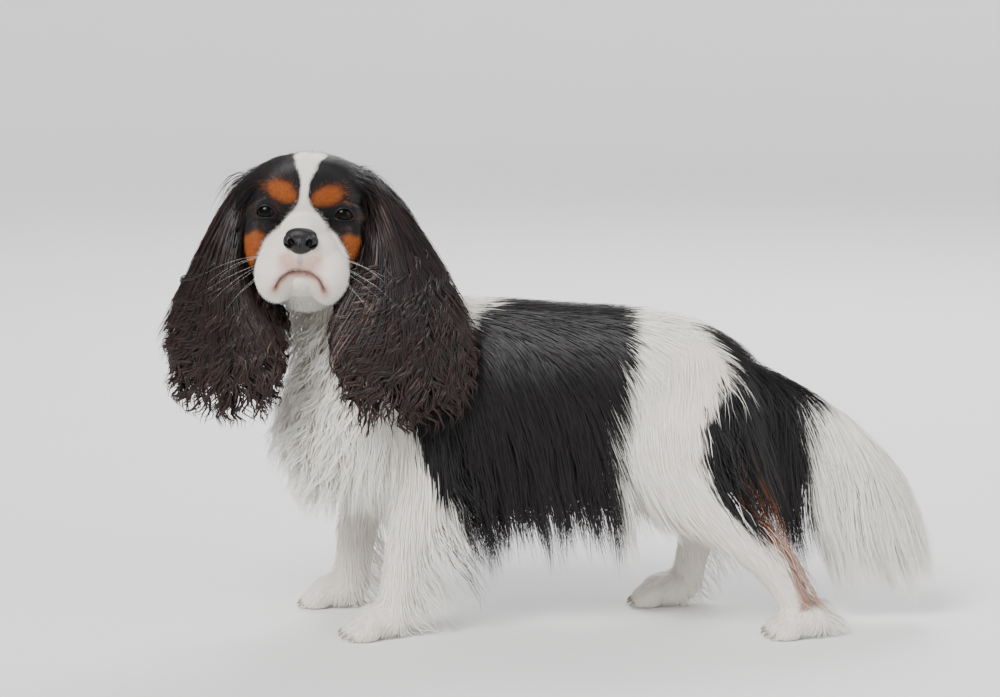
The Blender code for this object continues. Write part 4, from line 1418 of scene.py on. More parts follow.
@dataclass
class Coat:
    """One piece of the coat: tapered tufts rooted in the skin, drawn together in locks.

    A tuft's thickness is a share of its width, most of which it keeps up to its blunt point. Fine
    and broad are the sizes of the two kinds of lock, gather is how far each of them draws tufts in,
    and clasp is where along them that is full. Pitch is the length of a wave. Facing turns the flat
    sides outwards, soft blends the shading, spread is how far the colours stray at their edges, and
    carry is how far from its root to its middle a tuft's colour is read.
    """

    name: str
    node: str
    flow: Flow
    regions: tuple[Region, ...]
    tufts: int
    rings: int = 4
    width: float = 0.0011
    thick: float = 0.45
    fine: float = 0.004
    broad: float = 0.012
    gather: Pair = (0.45, 0.45)
    pitch: float = 0.026
    droop: float = 0.10
    spread: float = 0.0030
    ragged: Pair = (0.72, 1.12)
    facing: float = 0.0
    clasp: float = 1.0
    soft: float = 1.3
    blunt: float = 0.6
    carry: float = 1.0
    finish: CoatFinish = COAT
    tones: Callable[..., Array] = MARKINGS.tones
    only: Callable[[Array], Array] | None = None
    seed: int = 1

    def roots(self, skin: Skin, draw: Chance) -> tuple[Array, Array]:
        """Spreads the roots over the skin of this piece's regions.

        Args:
            skin: The skin.
            draw: The source of chance.

        Returns:
            The roots and the skin's normals there.
        """
        weight = skin.areas * np.isin(skin.face_regions, [r.value for r in self.regions])
        if self.only:
            weight = weight * self.only(skin.middles)
        total = np.cumsum(weight)
        steps = (np.arange(self.tufts) + draw.random(self.tufts)) / self.tufts
        chosen = np.searchsorted(total, steps * total[-1])
        a, b = draw.random((2, self.tufts))
        over = a + b > 1
        a, b = np.where(over, 1 - a, a), np.where(over, 1 - b, b)
        shares = np.stack([1 - a - b, a, b], axis=1)[:, :, None]
        corners = skin.triangles[chosen]
        roots = (skin.points[corners] * shares).sum(axis=1)
        return roots, unit((skin.normals[corners] * shares).sum(axis=1))

    def paths(self, skin: Skin, draw: Chance) -> Tufts:
        """Grows each tuft from its root along the lie of the coat, clear of the skin.

        Args:
            skin: The skin.
            draw: The source of chance.

        Returns:
            The tufts.
        """
        roots, normals = self.roots(skin, draw)
        _, sizes = self.flow.at(roots)
        lengths = sizes[:, 0] * draw.uniform(*self.ragged, len(roots))
        height = sizes[:, 1] * draw.uniform(0.15, 1.0, len(roots)) ** 1.3
        step = lengths / self.rings
        here = roots - normals * np.minimum(ROOT_DEPTH, step * 0.3)[:, None]
        points = [here]
        heading = normals
        for k in range(1, self.rings + 1):
            t = k / self.rings
            way, _ = self.flow.at(here)
            inward = np.minimum((way * normals).sum(axis=1, keepdims=True), 0)
            hug = max(0.0, 1 - 1.6 * (t - 1 / self.rings))
            way = way - hug * inward * normals
            way[:, 2] -= self.droop * t
            lean = unit(way)
            if k == 1:
                heading = unit(lean + 0.6 * normals * (height / step)[:, None].clip(0, 1))
            else:
                heading = unit(0.45 * heading + 0.55 * lean)
            here = skin.clear(here + heading * step[:, None], 0.0003 + height * t)
            here[:, 2] = np.maximum(here[:, 2], LOWEST_PATH)
            points.append(here)
        return Tufts(np.stack(points, axis=1), normals, lengths, sizes[:, 2], roots)

    def locks(self, tufts: Tufts, draw: Chance) -> None:
        """Draws the tufts together towards the middles of fine and broad locks, and waves them.

        Args:
            tufts: The tufts, whose points are changed.
            draw: The source of chance.
        """
        points, count = tufts.points, len(tufts.points)
        t = np.linspace(0, 1, self.rings + 1)
        for size, share, part, pitch in (
            (self.broad, self.gather[1], 0.85, self.pitch),
            (self.fine, self.gather[0], 0.40, 0.8 * self.pitch),
        ):
            leaders = self.leaders(points[:, 0], size, draw)
            pull = (share * smooth_step(t, 0.0, self.clasp))[None, :, None]
            pull = pull * draw.uniform(0.6, 1.0, (count, 1, 1))
            pull = pull * (0.25 + 0.75 * smooth_step(tufts.lengths, 0.025, 0.080))[:, None, None]
            points = points + (points[leaders] - points) * pull
            shift = draw.uniform(0, math.tau, count)[leaders]
            along = unit(points[:, -1] - points[:, 0])[leaders]
            out = tufts.normals[leaders]
            side = unit(np.cross(along, out))
            reach = ((points - points[leaders, :1]) * along[:, None]).sum(axis=2)
            swing = reach / pitch * math.tau + shift[:, None] + 0.25 * draw.normal(size=(count, 1))
            amount = tufts.waves[:, None] * smooth_step(t, 0.0, 0.35)[None] * part
            points = points + side[:, None] * (np.sin(swing) * amount)[:, :, None]
            points = points + out[:, None] * (0.6 * np.cos(swing) * amount)[:, :, None]
        points[:, :, 2] = np.maximum(points[:, :, 2], LOWEST_HAIR)
        tufts.points = points

    def leaders(self, roots: Array, size: float, draw: Chance) -> Array:
        """The tuft at the middle of the lock that each tuft belongs to.

        Args:
            roots: The roots of the tufts.
            size: About how far apart the locks are.
            draw: The source of chance.

        Returns:
            The number of each tuft's leader.
        """
        cells = {}
        order = draw.permutation(len(roots))
        for i in order.tolist():
            cells.setdefault(tuple((roots[i] // size).tolist()), i)
        chosen = sorted(cells.values())
        tree = KDTree(len(chosen))
        for i in chosen:
            tree.insert(roots[i], i)
        tree.balance()
        return np.array([tree.find(root)[1] for root in roots.tolist()])

    def chart(self, roots: Array, skin: Skin) -> Array:
        """Each root's place on an unwrap of the skin: round each form and along it.

        Args:
            roots: The roots.
            skin: The skin.

        Returns:
            Rows of u and v.
        """
        regions = skin.region_of(roots)
        places = np.zeros((len(roots), 2))
        for column, region in enumerate(self.regions):
            mask = regions == region.value
            if not mask.any():
                continue
            own = roots[mask]
            rows = np.array(TUBES.get(region, ((-0.2, 0, 0, 0, 0), (0.3, 0, 0, 0, 0))))[:, :3]
            if region is Region.HEAD:
                own = head_local(own)
                rows = np.array(((0.0, -0.060, -0.02), (0.0, 0.110, 0.01)))
            axis = unit(rows[-1] - rows[0])
            side = unit(np.cross(axis, (0.0, 0.3, 1.0) if abs(axis[2]) < 0.8 else (1.0, 0.0, 0.0)))
            off = own - rows[0]
            round_it = np.arctan2(off @ side, off @ np.cross(axis, side)) / math.tau + 0.5
            down = off @ axis / np.linalg.norm(rows[-1] - rows[0])
            places[mask, 0] = (column + 0.03 + 0.94 * round_it) / len(self.regions)
            places[mask, 1] = 0.08 + 0.84 * np.clip(down, -0.08, 1.08)
        return places

    def grow(self, skin: Skin) -> Piece:
        """Grows this piece of the coat.

        Args:
            skin: The skin that it is rooted in.

        Returns:
            The piece.
        """
        draw = np.random.default_rng(self.seed)
        tufts = self.paths(skin, draw)
        self.locks(tufts, draw)
        points, roots = tufts.points, tufts.roots
        count, rings = len(points), self.rings
        out, side, up = self.axes(tufts, draw)
        t = np.linspace(0, 1, rings + 1)
        shape = np.interp(t, (0.0, 0.25, self.blunt, 1.0), (0.55, 1.0, 0.80, 0.02))[:rings]
        wide = self.width * draw.uniform(0.7, 1.3, (count, 1, 1)) * shape[None, :, None]
        base, side, up = points[:, :rings], side[:, :rings] * wide / 2, up[:, :rings] * wide
        low = base - up * self.thick * 0.3
        corners = np.stack([low + side, base + up * self.thick * 0.7, low - side], axis=2)
        body = np.concatenate([corners.reshape(count, 3 * rings, 3), points[:, -1:]], axis=1)
        size = 3 * rings + 1
        faces, under = self.faces()
        triangles = faces[None] + size * np.arange(count)[:, None, None]
        made = mesh_object(self.name, body.reshape(-1, 3), triangles.reshape(-1, 3))
        out, aside, up = unit(out), unit(side), unit(up)
        upper = self.corner_normals((aside, up, -aside), out)
        lower = self.corner_normals((aside, -up, -aside), -out)
        shading = np.where(under[None, :, None, None], lower[:, faces], upper[:, faces])
        made.data.normals_split_custom_set(shading.reshape(-1, 3).astype(np.float32))
        middle = roots + self.carry * (points[:, (rings + 1) // 2] - roots)
        tones = np.repeat(self.tones(middle, self.spread, self.seed + 7), size, axis=0)
        chance = np.repeat(draw.random(count), size)
        along = np.tile(np.append(np.repeat(t[:rings], 3), 1.0), count)
        paint(made, tones, chance, along)
        self.unwrap(made, roots, skin, along)
        return settle(made, self.finish)

    def axes(self, tufts: Tufts, draw: Chance) -> tuple[Array, Array, Array]:
        """How each tuft's cross section is turned at each of its points.

        Args:
            tufts: The tufts.
            draw: The source of chance.

        Returns:
            The ways out of the coat, across the tuft and up from its flat side.
        """
        ahead = unit(np.gradient(tufts.points, axis=1))
        outwards = np.clip(tufts.roots[:, 1:2] / 0.03, -1, 1)
        out = tufts.normals + self.facing * outwards * np.array((0.0, 1.0, 0.0))
        out = out[:, None] - (out[:, None] * ahead).sum(axis=2, keepdims=True) * ahead
        side = unit(np.cross(ahead, out))
        up = np.cross(side, ahead)
        roll = draw.normal(size=(len(out), 1, 1)) * 0.25
        return out, side * np.cos(roll) + up * np.sin(roll), up * np.cos(roll) - side * np.sin(roll)

    def faces(self) -> tuple[Array, Array]:
        """The triangles of one tuft: its root, its three sides and its tip.

        Returns:
            Rows of three point numbers, and which of them lie on the under side.
        """
        around = ((0, 1), (1, 2), (2, 0))
        faces, under = [(0, 1, 2)], [True]
        for low in range(0, 3 * self.rings - 3, 3):
            high = low + 3
            for a, b in around:
                faces += [(low + a, high + b, low + b), (low + a, high + a, high + b)]
                under += [a == 2, a == 2]
        last = 3 * self.rings - 3
        for a, b in around:
            faces.append((last + a, last + 3, last + b))
            under.append(a == 2)
        return np.array(faces), np.array(under)

    def corner_normals(self, parts: tuple[Array, ...], out: Array) -> Array:
        """Shading normals that lean towards one side of the coat, so that tufts blend.

        Args:
            parts: Each corner's own way, at each ring.
            out: The side that they lean towards, at each ring and the tip.

        Returns:
            A normal for each point of each tuft.
        """
        turned = [unit(self.soft * out[:, : self.rings] + 0.45 * part) for part in parts]
        rows = np.stack(turned, axis=2).reshape(len(out), 3 * self.rings, 3)
        return np.concatenate([rows, out[:, -1:]], axis=1)

    def unwrap(self, made: Piece, roots: Array, skin: Skin, along: Array) -> None:
        """Gives each tuft a small patch of the map, at its root's place on the skin's unwrap.

        Args:
            made: The piece.
            roots: The roots of its tufts.
            skin: The skin.
            along: How far along its tuft each point is.
        """
        places = np.repeat(self.chart(roots, skin), 3 * self.rings + 1, axis=0)
        across = np.append(np.tile((-0.5, 0.0, 0.5), self.rings), 0.0)
        across = np.tile(across, len(roots))
        places += PATCH * np.stack([across, along - 0.5], axis=1)
        corners = np.empty(len(made.data.loops), np.int32)
        made.data.loops.foreach_get("vertex_index", corners)
        layer = made.data.uv_layers.new(name="OFBake")
        layer.data.foreach_set("uv", np.clip(places[corners], 0, 1).astype(np.float32).ravel())


def black_ears(points: Array, spread: float = 0.0, seed: int = 0) -> Array:
    """The ears are dark all over, but for a few tan strands at the front edge of the lining.

    Args:
        points: Rows of three coordinates.
        spread: Not used, because the ears have no edges of colour.
        seed: Picks the strands.

    Returns:
        A row of three shares for each point.
    """
    tones = np.zeros((len(points), 3))
    draw = np.random.default_rng(seed)
    across = head_local(points)[:, 0]
    share = np.where((across > 0.046) & (across < 0.072), 0.11, 0.03) * (np.abs(across) < 0.072)
    brown = (points[:, 2] > 0.29) & (draw.random(len(points)) < share)
    tones[brown, :2] = (0.05, 0.14)
    return tones


def curl_height(points: Array) -> Array:
    """Above the middle of the band where the ears' hair starts to curl, lowest at their outside."""
    return points[:, 2] - np.interp(np.abs(head_local(points)[:, 0]), (0.10, 0.15), (0.365, 0.325))


def ear_top(points: Array) -> Array:
    """1 on the upper part of an ear, where its hair is straight, and 0 at its end."""
    return smooth_step(curl_height(points), -0.070, -0.030)


def ear_end(points: Array) -> Array:
    """How densely the curled lower part of an ear is haired, most at its end, and 0 above."""
    low = 1 + 3.6 * smooth_step(-points[:, 2], -0.275, -0.225)
    return low * (1 - smooth_step(curl_height(points), -0.020, 0.020))


def plume(points: Array) -> Array:
    """How much more densely the end of the tail is haired than its root."""
    return 1 + 3.0 * smooth_step(points[:, 0], 0.26, 0.35)


def course(rows: Array | Rows, i: int) -> Array:
    """The way along some stations at one of them, from the station before to the one after."""
    after, before = rows[min(i + 1, len(rows) - 1)], rows[max(i - 1, 0)]
    return unit(np.array(after[:3]) - np.array(before[:3]))


def ear_flow(region: Region, curled: bool) -> Flow:
    """The lie of an ear's hair: down the flap and spread towards its edges.

    Args:
        region: Which ear.
        curled: Whether it is the curled coat.

    Returns:
        Its lie.
    """
    rows = spline(TUBES[region], 2)
    across = unit(np.array(EAR_ACROSS[region.name.lower()]))
    lengths = (0.046, 0.050, 0.060, 0.076) if curled else (0.050, 0.084, 0.078, 0.068)
    found = []
    for i, row in enumerate(rows):
        down = i / (len(rows) - 1)
        path = unit(course(rows, i) + np.array((0, 0, -1.2)) * min(1.0, down * 1.5))
        length = float(np.interp(down, (0, 0.3, 0.6, 1), lengths))
        rise = float(np.interp(down, (0, 0.2, 0.6, 1), (0.003, 0.006, 0.012, 0.014)))
        wave = 0.0054 if curled else 0.0016 * down
        fan = min(1.0, 1.5 * down)
        for s in (-1, 0, 1):
            for face in SIDES:
                out = face * np.array((-across[1], across[0], 0.0))
                at = row[:3] + across * s * row[3] * 0.9 + out * row[4]
                way = path + across * s * fan + 0.05 * out
                found.append((at, way, length, rise, wave))
    return Flow(found)


FACE_ROWS = (
    ((0.0, -0.042, -0.01), (0.0, 0.5, 1.0), 0.003, 0.0008),
    ((0.008, -0.03, 0.0), (0.2, 0.5, 1.0), 0.0035, 0.0009),
    ((0.0, -0.015, 0.02), (0.0, 0.3, 1.0), 0.005, 0.0011),
    ((0.01, -0.012, 0.04), (0.25, 0.5, 1.0), 0.007, 0.0016),
    ((0.01, 0.01, 0.058), (0.3, 1.0, 0.4), 0.012, 0.0026),
    ((0.03, 0.01, 0.052), (0.9, 0.8, 0.2), 0.02, 0.005),
    ((0.01, 0.06, 0.062), (0.35, 1.0, -0.1), 0.018, 0.0036),
    ((0.036, 0.05, 0.052), (0.9, 0.6, -0.4), 0.032, 0.008),
    ((0.048, 0.016, 0.036), (0.8, 0.4, -0.7), 0.036, 0.008),
    ((0.022, -0.018, 0.018), (0.7, 0.2, 0.8), 0.0055, 0.0016),
    ((0.044, 0.0, 0.016), (0.8, 0.6, -0.1), 0.007, 0.0014),
    ((0.054, 0.02, 0.01), (0.45, 0.3, -1.0), 0.042, 0.007),
    ((0.02, -0.024, -0.01), (0.7, 0.4, 0.1), 0.0035, 0.0008),
    ((0.034, -0.014, -0.018), (0.8, 0.5, -0.3), 0.0042, 0.0009),
    ((0.05, 0.005, -0.02), (0.6, 0.8, -0.5), 0.008, 0.0018),
    ((0.056, 0.03, -0.03), (0.3, 0.5, -1.0), 0.032, 0.006),
    ((0.014, -0.046, -0.036), (0.9, 0.3, -0.5), 0.0032, 0.0009),
    ((0.028, -0.036, -0.04), (0.8, 0.5, -0.6), 0.0042, 0.0011),
    ((0.04, -0.016, -0.05), (0.5, 0.7, -0.8), 0.0055, 0.0015),
    ((0.01, -0.044, -0.05), (0.4, 0.0, -1.0), 0.0034, 0.0009),
    ((0.028, -0.032, -0.07), (0.3, 0.3, -1.0), 0.006, 0.0015),
    ((0.008, -0.036, -0.066), (0.2, -0.1, -1.0), 0.0038, 0.001),
    ((0.0, -0.026, -0.084), (0.0, 0.5, -1.0), 0.005, 0.0012),
    ((0.02, -0.01, -0.084), (0.2, 0.7, -1.0), 0.008, 0.002),
    ((0.044, 0.02, -0.062), (0.2, 0.6, -1.0), 0.018, 0.004),
    ((0.0, 0.0, -0.086), (0.0, 1.0, -0.3), 0.006, 0.0012),
    ((0.0, 0.03, -0.088), (0.0, 1.0, -0.6), 0.014, 0.003),
    ((0.0, 0.105, 0.02), (0.0, 0.2, -1.0), 0.026, 0.004),
    ((0.05, 0.08, 0.0), (0.2, 0.4, -1.0), 0.026, 0.004),
)
FACE = Flow(FACE_ROWS, mirror=0, sharp=2.5, on_head=True)
TRUNK_ROWS = (
    ((-0.05, -0.02, 0.318), (1.0, -0.1, -0.1), 0.024, 0.005),
    ((0.06, -0.02, 0.316), (1.0, -0.1, -0.15), 0.024, 0.005),
    ((0.16, -0.02, 0.3), (1.0, -0.1, -0.25), 0.026, 0.005),
    ((0.215, -0.02, 0.276), (1.0, -0.1, -0.55), 0.034, 0.005),
    ((-0.06, -0.05, 0.295), (0.8, -0.3, -0.6), 0.028, 0.005),
    ((0.06, -0.05, 0.295), (0.85, -0.2, -0.5), 0.028, 0.005),
    ((0.16, -0.05, 0.28), (0.8, -0.2, -0.6), 0.028, 0.005),
    ((-0.09, -0.07, 0.26), (0.4, -0.1, -1.0), 0.046, 0.005, 0.0006),
    ((0.02, -0.08, 0.25), (0.4, 0.0, -1.0), 0.058, 0.005, 0.0006),
    ((0.11, -0.075, 0.25), (0.45, 0.0, -1.0), 0.054, 0.005, 0.0006),
    ((-0.03, -0.072, 0.195), (0.2, -0.1, -1.0), 0.078, 0.0065, 0.0024),
    ((0.06, -0.07, 0.195), (0.22, -0.1, -1.0), 0.086, 0.0065, 0.0024),
    ((0.13, -0.07, 0.2), (0.4, -0.1, -1.0), 0.084, 0.0065, 0.003),
    ((-0.03, -0.04, 0.152), (0.18, -0.1, -1.0), 0.1, 0.006, 0.0042),
    ((0.04, -0.04, 0.152), (0.16, -0.1, -1.0), 0.11, 0.006, 0.0042),
    ((0.105, -0.04, 0.166), (0.2, -0.1, -1.0), 0.112, 0.006, 0.0046),
    ((0.03, 0.0, 0.146), (0.2, 0.0, -1.0), 0.06, 0.006, 0.002),
    ((-0.185, -0.03, 0.235), (-0.55, -0.2, -1.0), 0.08, 0.01, 0.0075),
    ((-0.178, -0.03, 0.19), (-0.35, -0.1, -1.0), 0.078, 0.008, 0.007),
    ((-0.15, -0.064, 0.215), (0.0, -0.2, -1.0), 0.066, 0.006, 0.0056),
    ((-0.12, -0.03, 0.142), (-0.05, -0.1, -1.0), 0.05, 0.005, 0.002),
    ((0.185, -0.075, 0.23), (0.4, 0.0, -1.0), 0.038, 0.005, 0.001),
    ((0.236, -0.034, 0.222), (0.35, -0.1, -1.0), 0.14, 0.008, 0.0024),
    ((0.244, 0.0, 0.212), (0.3, 0.0, -1.0), 0.14, 0.008, 0.0024),
)
TRUNK = Flow(TRUNK_ROWS, mirror=1)
COLLAR_ROWS = (
    ((-0.12, 0.0, 0.4), (0.6, 0.0, -1.0), 0.04, 0.006),
    ((-0.08, -0.01, 0.34), (0.8, -0.1, -0.8), 0.04, 0.006),
    ((-0.06, -0.03, 0.318), (0.9, -0.1, -0.5), 0.034, 0.006),
    ((-0.14, -0.06, 0.36), (0.1, -0.2, -1.0), 0.05, 0.007, 0.0014),
    ((-0.11, -0.066, 0.31), (0.2, -0.2, -1.0), 0.05, 0.006, 0.0016),
    ((-0.196, -0.02, 0.36), (-0.3, 0.0, -1.0), 0.056, 0.008, 0.0034),
    ((-0.19, -0.03, 0.32), (-0.5, -0.1, -1.0), 0.072, 0.01, 0.0076),
    ((-0.182, -0.036, 0.27), (-0.6, -0.2, -1.0), 0.082, 0.011, 0.0082),
    ((-0.15, -0.066, 0.27), (-0.1, -0.3, -1.0), 0.062, 0.007, 0.0044),
)
COLLAR = Flow(COLLAR_ROWS, mirror=1)


def leg_flow(rows: Rows, lengths: tuple[Triple, ...], sweep: float, outwards: float) -> Flow:
    """The lie of the coat on a leg, with short hair in front and a feather behind.

    Args:
        rows: The stations of the leg.
        lengths: The coat's length in front, at the sides and behind, at each station.
        sweep: How far the feather sweeps backwards for each step down.
        outwards: 1 for a leg on the dog's right and -1 for its left.

    Returns:
        Its lie.
    """
    found = []
    for i, (row, (front, beside, behind)) in enumerate(zip(rows, lengths)):
        centre, path = np.array(row[:3]), course(rows, i)
        ahead = np.array((-row[4], 0.0, 0.0))
        aside = np.array((0.0, row[3] * outwards, 0.0))
        feather = np.array((sweep * min(1.0, 0.4 + 0.2 * i), 0.0, -1.0))
        found += [
            (centre + ahead, path, front, 0.0020),
            (centre + aside, path + 0.3 * feather, beside, 0.0030, 0.0008),
            (centre - aside, path + 0.3 * feather, beside, 0.0030, 0.0008),
            (centre - ahead, feather, behind, 0.0070, 0.0060),
        ]
    return Flow(found)


FORE_LENGTHS: tuple[Triple, ...] = (
    (0.030, 0.036, 0.050), (0.026, 0.036, 0.070), (0.018, 0.036, 0.092), (0.013, 0.028, 0.090),
    (0.010, 0.018, 0.068), (0.009, 0.012, 0.036),
)
HIND_LENGTHS: tuple[Triple, ...] = (
    (0.040, 0.036, 0.090), (0.055, 0.040, 0.125), (0.060, 0.038, 0.110), (0.022, 0.024, 0.096),
    (0.010, 0.016, 0.070), (0.009, 0.012, 0.046), (0.009, 0.011, 0.030),
)


def tail_flow() -> Flow:
    """The lie of the tail's coat, which hangs in a plume below it.

    Returns:
        Its lie.
    """
    found = []
    for i, row in enumerate(TAIL):
        down = i / (len(TAIL) - 1)
        centre, path = np.array(row[:3]), course(TAIL, i)
        back = float(np.interp(down, (0, 0.4, 0.6, 0.8, 1), (0.0, -0.04, -0.02, 0.16, 0.50)))
        under = np.array((back, 0.0, -1.0))
        reaches = (0.08, 0.13, 0.16, 0.185, 0.168, 0.14)
        long = float(np.interp(down, (0, 0.2, 0.4, 0.6, 0.8, 1), reaches))
        top = float(np.interp(down, (0, 0.4, 1), (0.034, 0.070, 0.120)))
        found.append((centre + (0, 0, row[4]), path, top, 0.0060, 0.0010))
        for s in SIDES:
            aside = np.array((0.0, s * row[3], 0.0))
            way = under + 0.10 * path + (0, 0.16 * s, 0)
            found.append((centre + aside, way, 0.92 * long, 0.0060, 0.0040))
        found.append((centre - (0, 0, row[4]), under, long, 0.0060, 0.0040))
    return Flow(found)


def paw_flow() -> Flow:
    """The lie of the coat on the paws: forwards over the toes and backwards from the heel.

    Returns:
        Its lie.
    """
    found = []
    for x, y, degrees in PAWS.values():
        turn = np.array(upright(degrees))
        centre = np.array((x, y, 0.017))
        for at, way, length, rise in (
            ((-0.016, 0.0, 0.017), (-1.0, 0.0, -0.5), 0.009, 0.0012),
            ((-0.040, 0.0, 0.002), (-0.5, 0.0, -1.0), 0.008, 0.0010),
            ((-0.010, 0.022, 0.0), (-0.6, 0.3, -1.0), 0.010, 0.0014),
            ((-0.010, -0.022, 0.0), (-0.6, -0.3, -1.0), 0.010, 0.0014),
            ((0.026, 0.0, 0.010), (1.0, 0.0, -0.6), 0.026, 0.0030),
        ):
            spot, lie = centre + turn @ np.array(at), turn @ np.array(way)
            found.append((spot, lie, length, rise, 0.0006))
    return Flow(found)


def chest(points: Array) -> Array:
    """1 on the front of the chest and 0 behind it."""
    return 1 - smooth_step(points[:, 0] + 0.3 * (0.24 - points[:, 2]), -0.142, -0.122)


def near_side(points: Array) -> Array:
    """1 on the dog's left, behind the chest, and 0 on its right."""
    return (points[:, 1] < 0) * (1.0 - chest(points))


def far_side(points: Array) -> Array:
    """1 on the dog's right, behind the chest, and 0 on its left."""
    return (points[:, 1] >= 0) * (1.0 - chest(points))


def bare_face(points: Array) -> Array:
    """0 where the head is bare: in the lids, on the nose and along the lips.

    Args:
        points: Rows of three coordinates.

    Returns:
        0 or 1 for each point.
    """
    local = head_local(points)
    half = np.stack([abs(local[:, 0]), local[:, 2]], axis=1)
    folded = np.stack([half[:, 0], local[:, 1], local[:, 2]], axis=1)
    eye = np.linalg.norm(folded - np.array(EYE_CENTRE), axis=1)
    x, z = half[:, 0] - EYE_CENTRE[0], half[:, 1]
    lids = (eye < 0.0165) & (np.hypot(x / 0.0100, z / 0.0066) < 1) & (local[:, 1] < 0)
    inside = eye < EYE_RADIUS + 0.0009
    nose = np.linalg.norm((local - np.array(NOSE_CENTRE)) / (0.0165, 0.0115, 0.0128), axis=1) < 1
    lips = (nearest_on_line(half, MOUTH) < 0.0007) & (local[:, 1] < -0.01)
    return 1.0 - (lids | inside | nose | lips)


def front_of_head(points: Array) -> Array:
    """1 on the face and 0 on the rest of the head, clear of what is bare."""
    return (head_local(points)[:, 1] < 0.012) * bare_face(points)


def back_of_head(points: Array) -> Array:
    """1 on the crown, sides and back of the head."""
    return (head_local(points)[:, 1] >= 0.012) * bare_face(points)


def coats() -> list[Coat]:
    """All the pieces of the coat.

    Returns:
        The pieces, ready to grow.
    """
    face = {"flow": FACE, "regions": (Region.HEAD,), "tones": MARKINGS.face, "carry": 0.0}
    bib = {"width": 0.0009, "pitch": 0.046, "gather": (0.45, 0.55), "clasp": 0.5}
    flank = {
        "flow": TRUNK, "regions": (Region.TORSO,), "rings": 3, "width": 0.00060, "fine": 0.003,
        "broad": 0.018, "gather": (0.30, 0.50), "ragged": (0.5, 1.25), "pitch": 0.120, "facing": 0.6,
    }
    ear = {"fine": 0.005, "finish": EAR_COAT, "tones": black_ears}
    leg = {"rings": 5, "width": 0.00080, "pitch": 0.075, "gather": (0.30, 0.45), "clasp": 0.8}
    found = [
        Coat("coat_face", "head", tufts=32000, rings=1, width=0.00064, fine=0.0022, broad=0.006,
             gather=(0.5, 0.3), droop=0.0, spread=0.0010, soft=0.5, only=front_of_head, seed=11,
             **face),
        Coat("coat_crown", "head", tufts=6800, rings=3, width=0.00074, fine=0.003, broad=0.008,
             gather=(0.5, 0.4), droop=0.05, spread=0.0005, only=back_of_head, seed=12, **face),
        Coat("coat_neck", "neck", COLLAR, (Region.NECK,), 3300, rings=8, carry=0.5, seed=13, **bib),
        Coat("coat_chest", "torso_front", TRUNK, (Region.TORSO,), 2300, rings=7, only=chest,
             seed=18, **bib),
        Coat("coat_side_left", "torso_front", tufts=9000, only=near_side, seed=14, **flank),
        Coat("coat_side_right", "torso_rear", tufts=8200, only=far_side, seed=15, **flank),
        Coat("coat_tail", "tail", tail_flow(), (Region.TAIL,), 5600, rings=5, width=0.00066,
             pitch=0.150, broad=0.016, gather=(0.25, 0.40), droop=0.40, facing=1.5, only=plume,
             seed=16),
        Coat("coat_paws", "fore_paw_left", paw_flow(), (Region.PAWS,), 4600, rings=2,
             width=0.0007, gather=(0.3, 0.2), seed=17),
    ]
    for k, region in enumerate((Region.EAR_LEFT, Region.EAR_RIGHT)):
        name = region.name.lower()
        found += [
            Coat("coat_" + name, name, ear_flow(region, False), (region,), 3200, width=0.0009,
                 gather=(0.5, 0.4), pitch=0.090, droop=0.30, ragged=(0.6, 1.1), soft=1.2,
                 only=ear_top, seed=20 + k, **ear),
            Coat("curls_" + name, name, ear_flow(region, True), (region,), 2000, rings=12,
                 width=0.0018, broad=0.011, gather=(0.55, 0.30), clasp=0.30, droop=0.35,
                 ragged=(0.90, 1.06), blunt=0.85, soft=0.45, only=ear_end, seed=24 + k, **ear),
        ]
    limbs = (
        (Region.FORE_LEFT, FORE_LENGTHS, 0.80, -1.0),
        (Region.FORE_RIGHT, FORE_LENGTHS, 0.80, 1.0),
        (Region.HIND_LEFT, HIND_LENGTHS, 0.60, -1.0),
        (Region.HIND_RIGHT, HIND_LENGTHS, 0.60, 1.0),
    )
    for k, (region, lengths, sweep, side) in enumerate(limbs):
        name = region.name.lower().replace("_", "_leg_")
        lie = leg_flow(TUBES[region], lengths, sweep, side)
        found.append(Coat("coat_" + name, name, lie, (region,), 1500, seed=30 + k, **leg))
    return found


# Eyes, nose, mouth, whiskers and claws


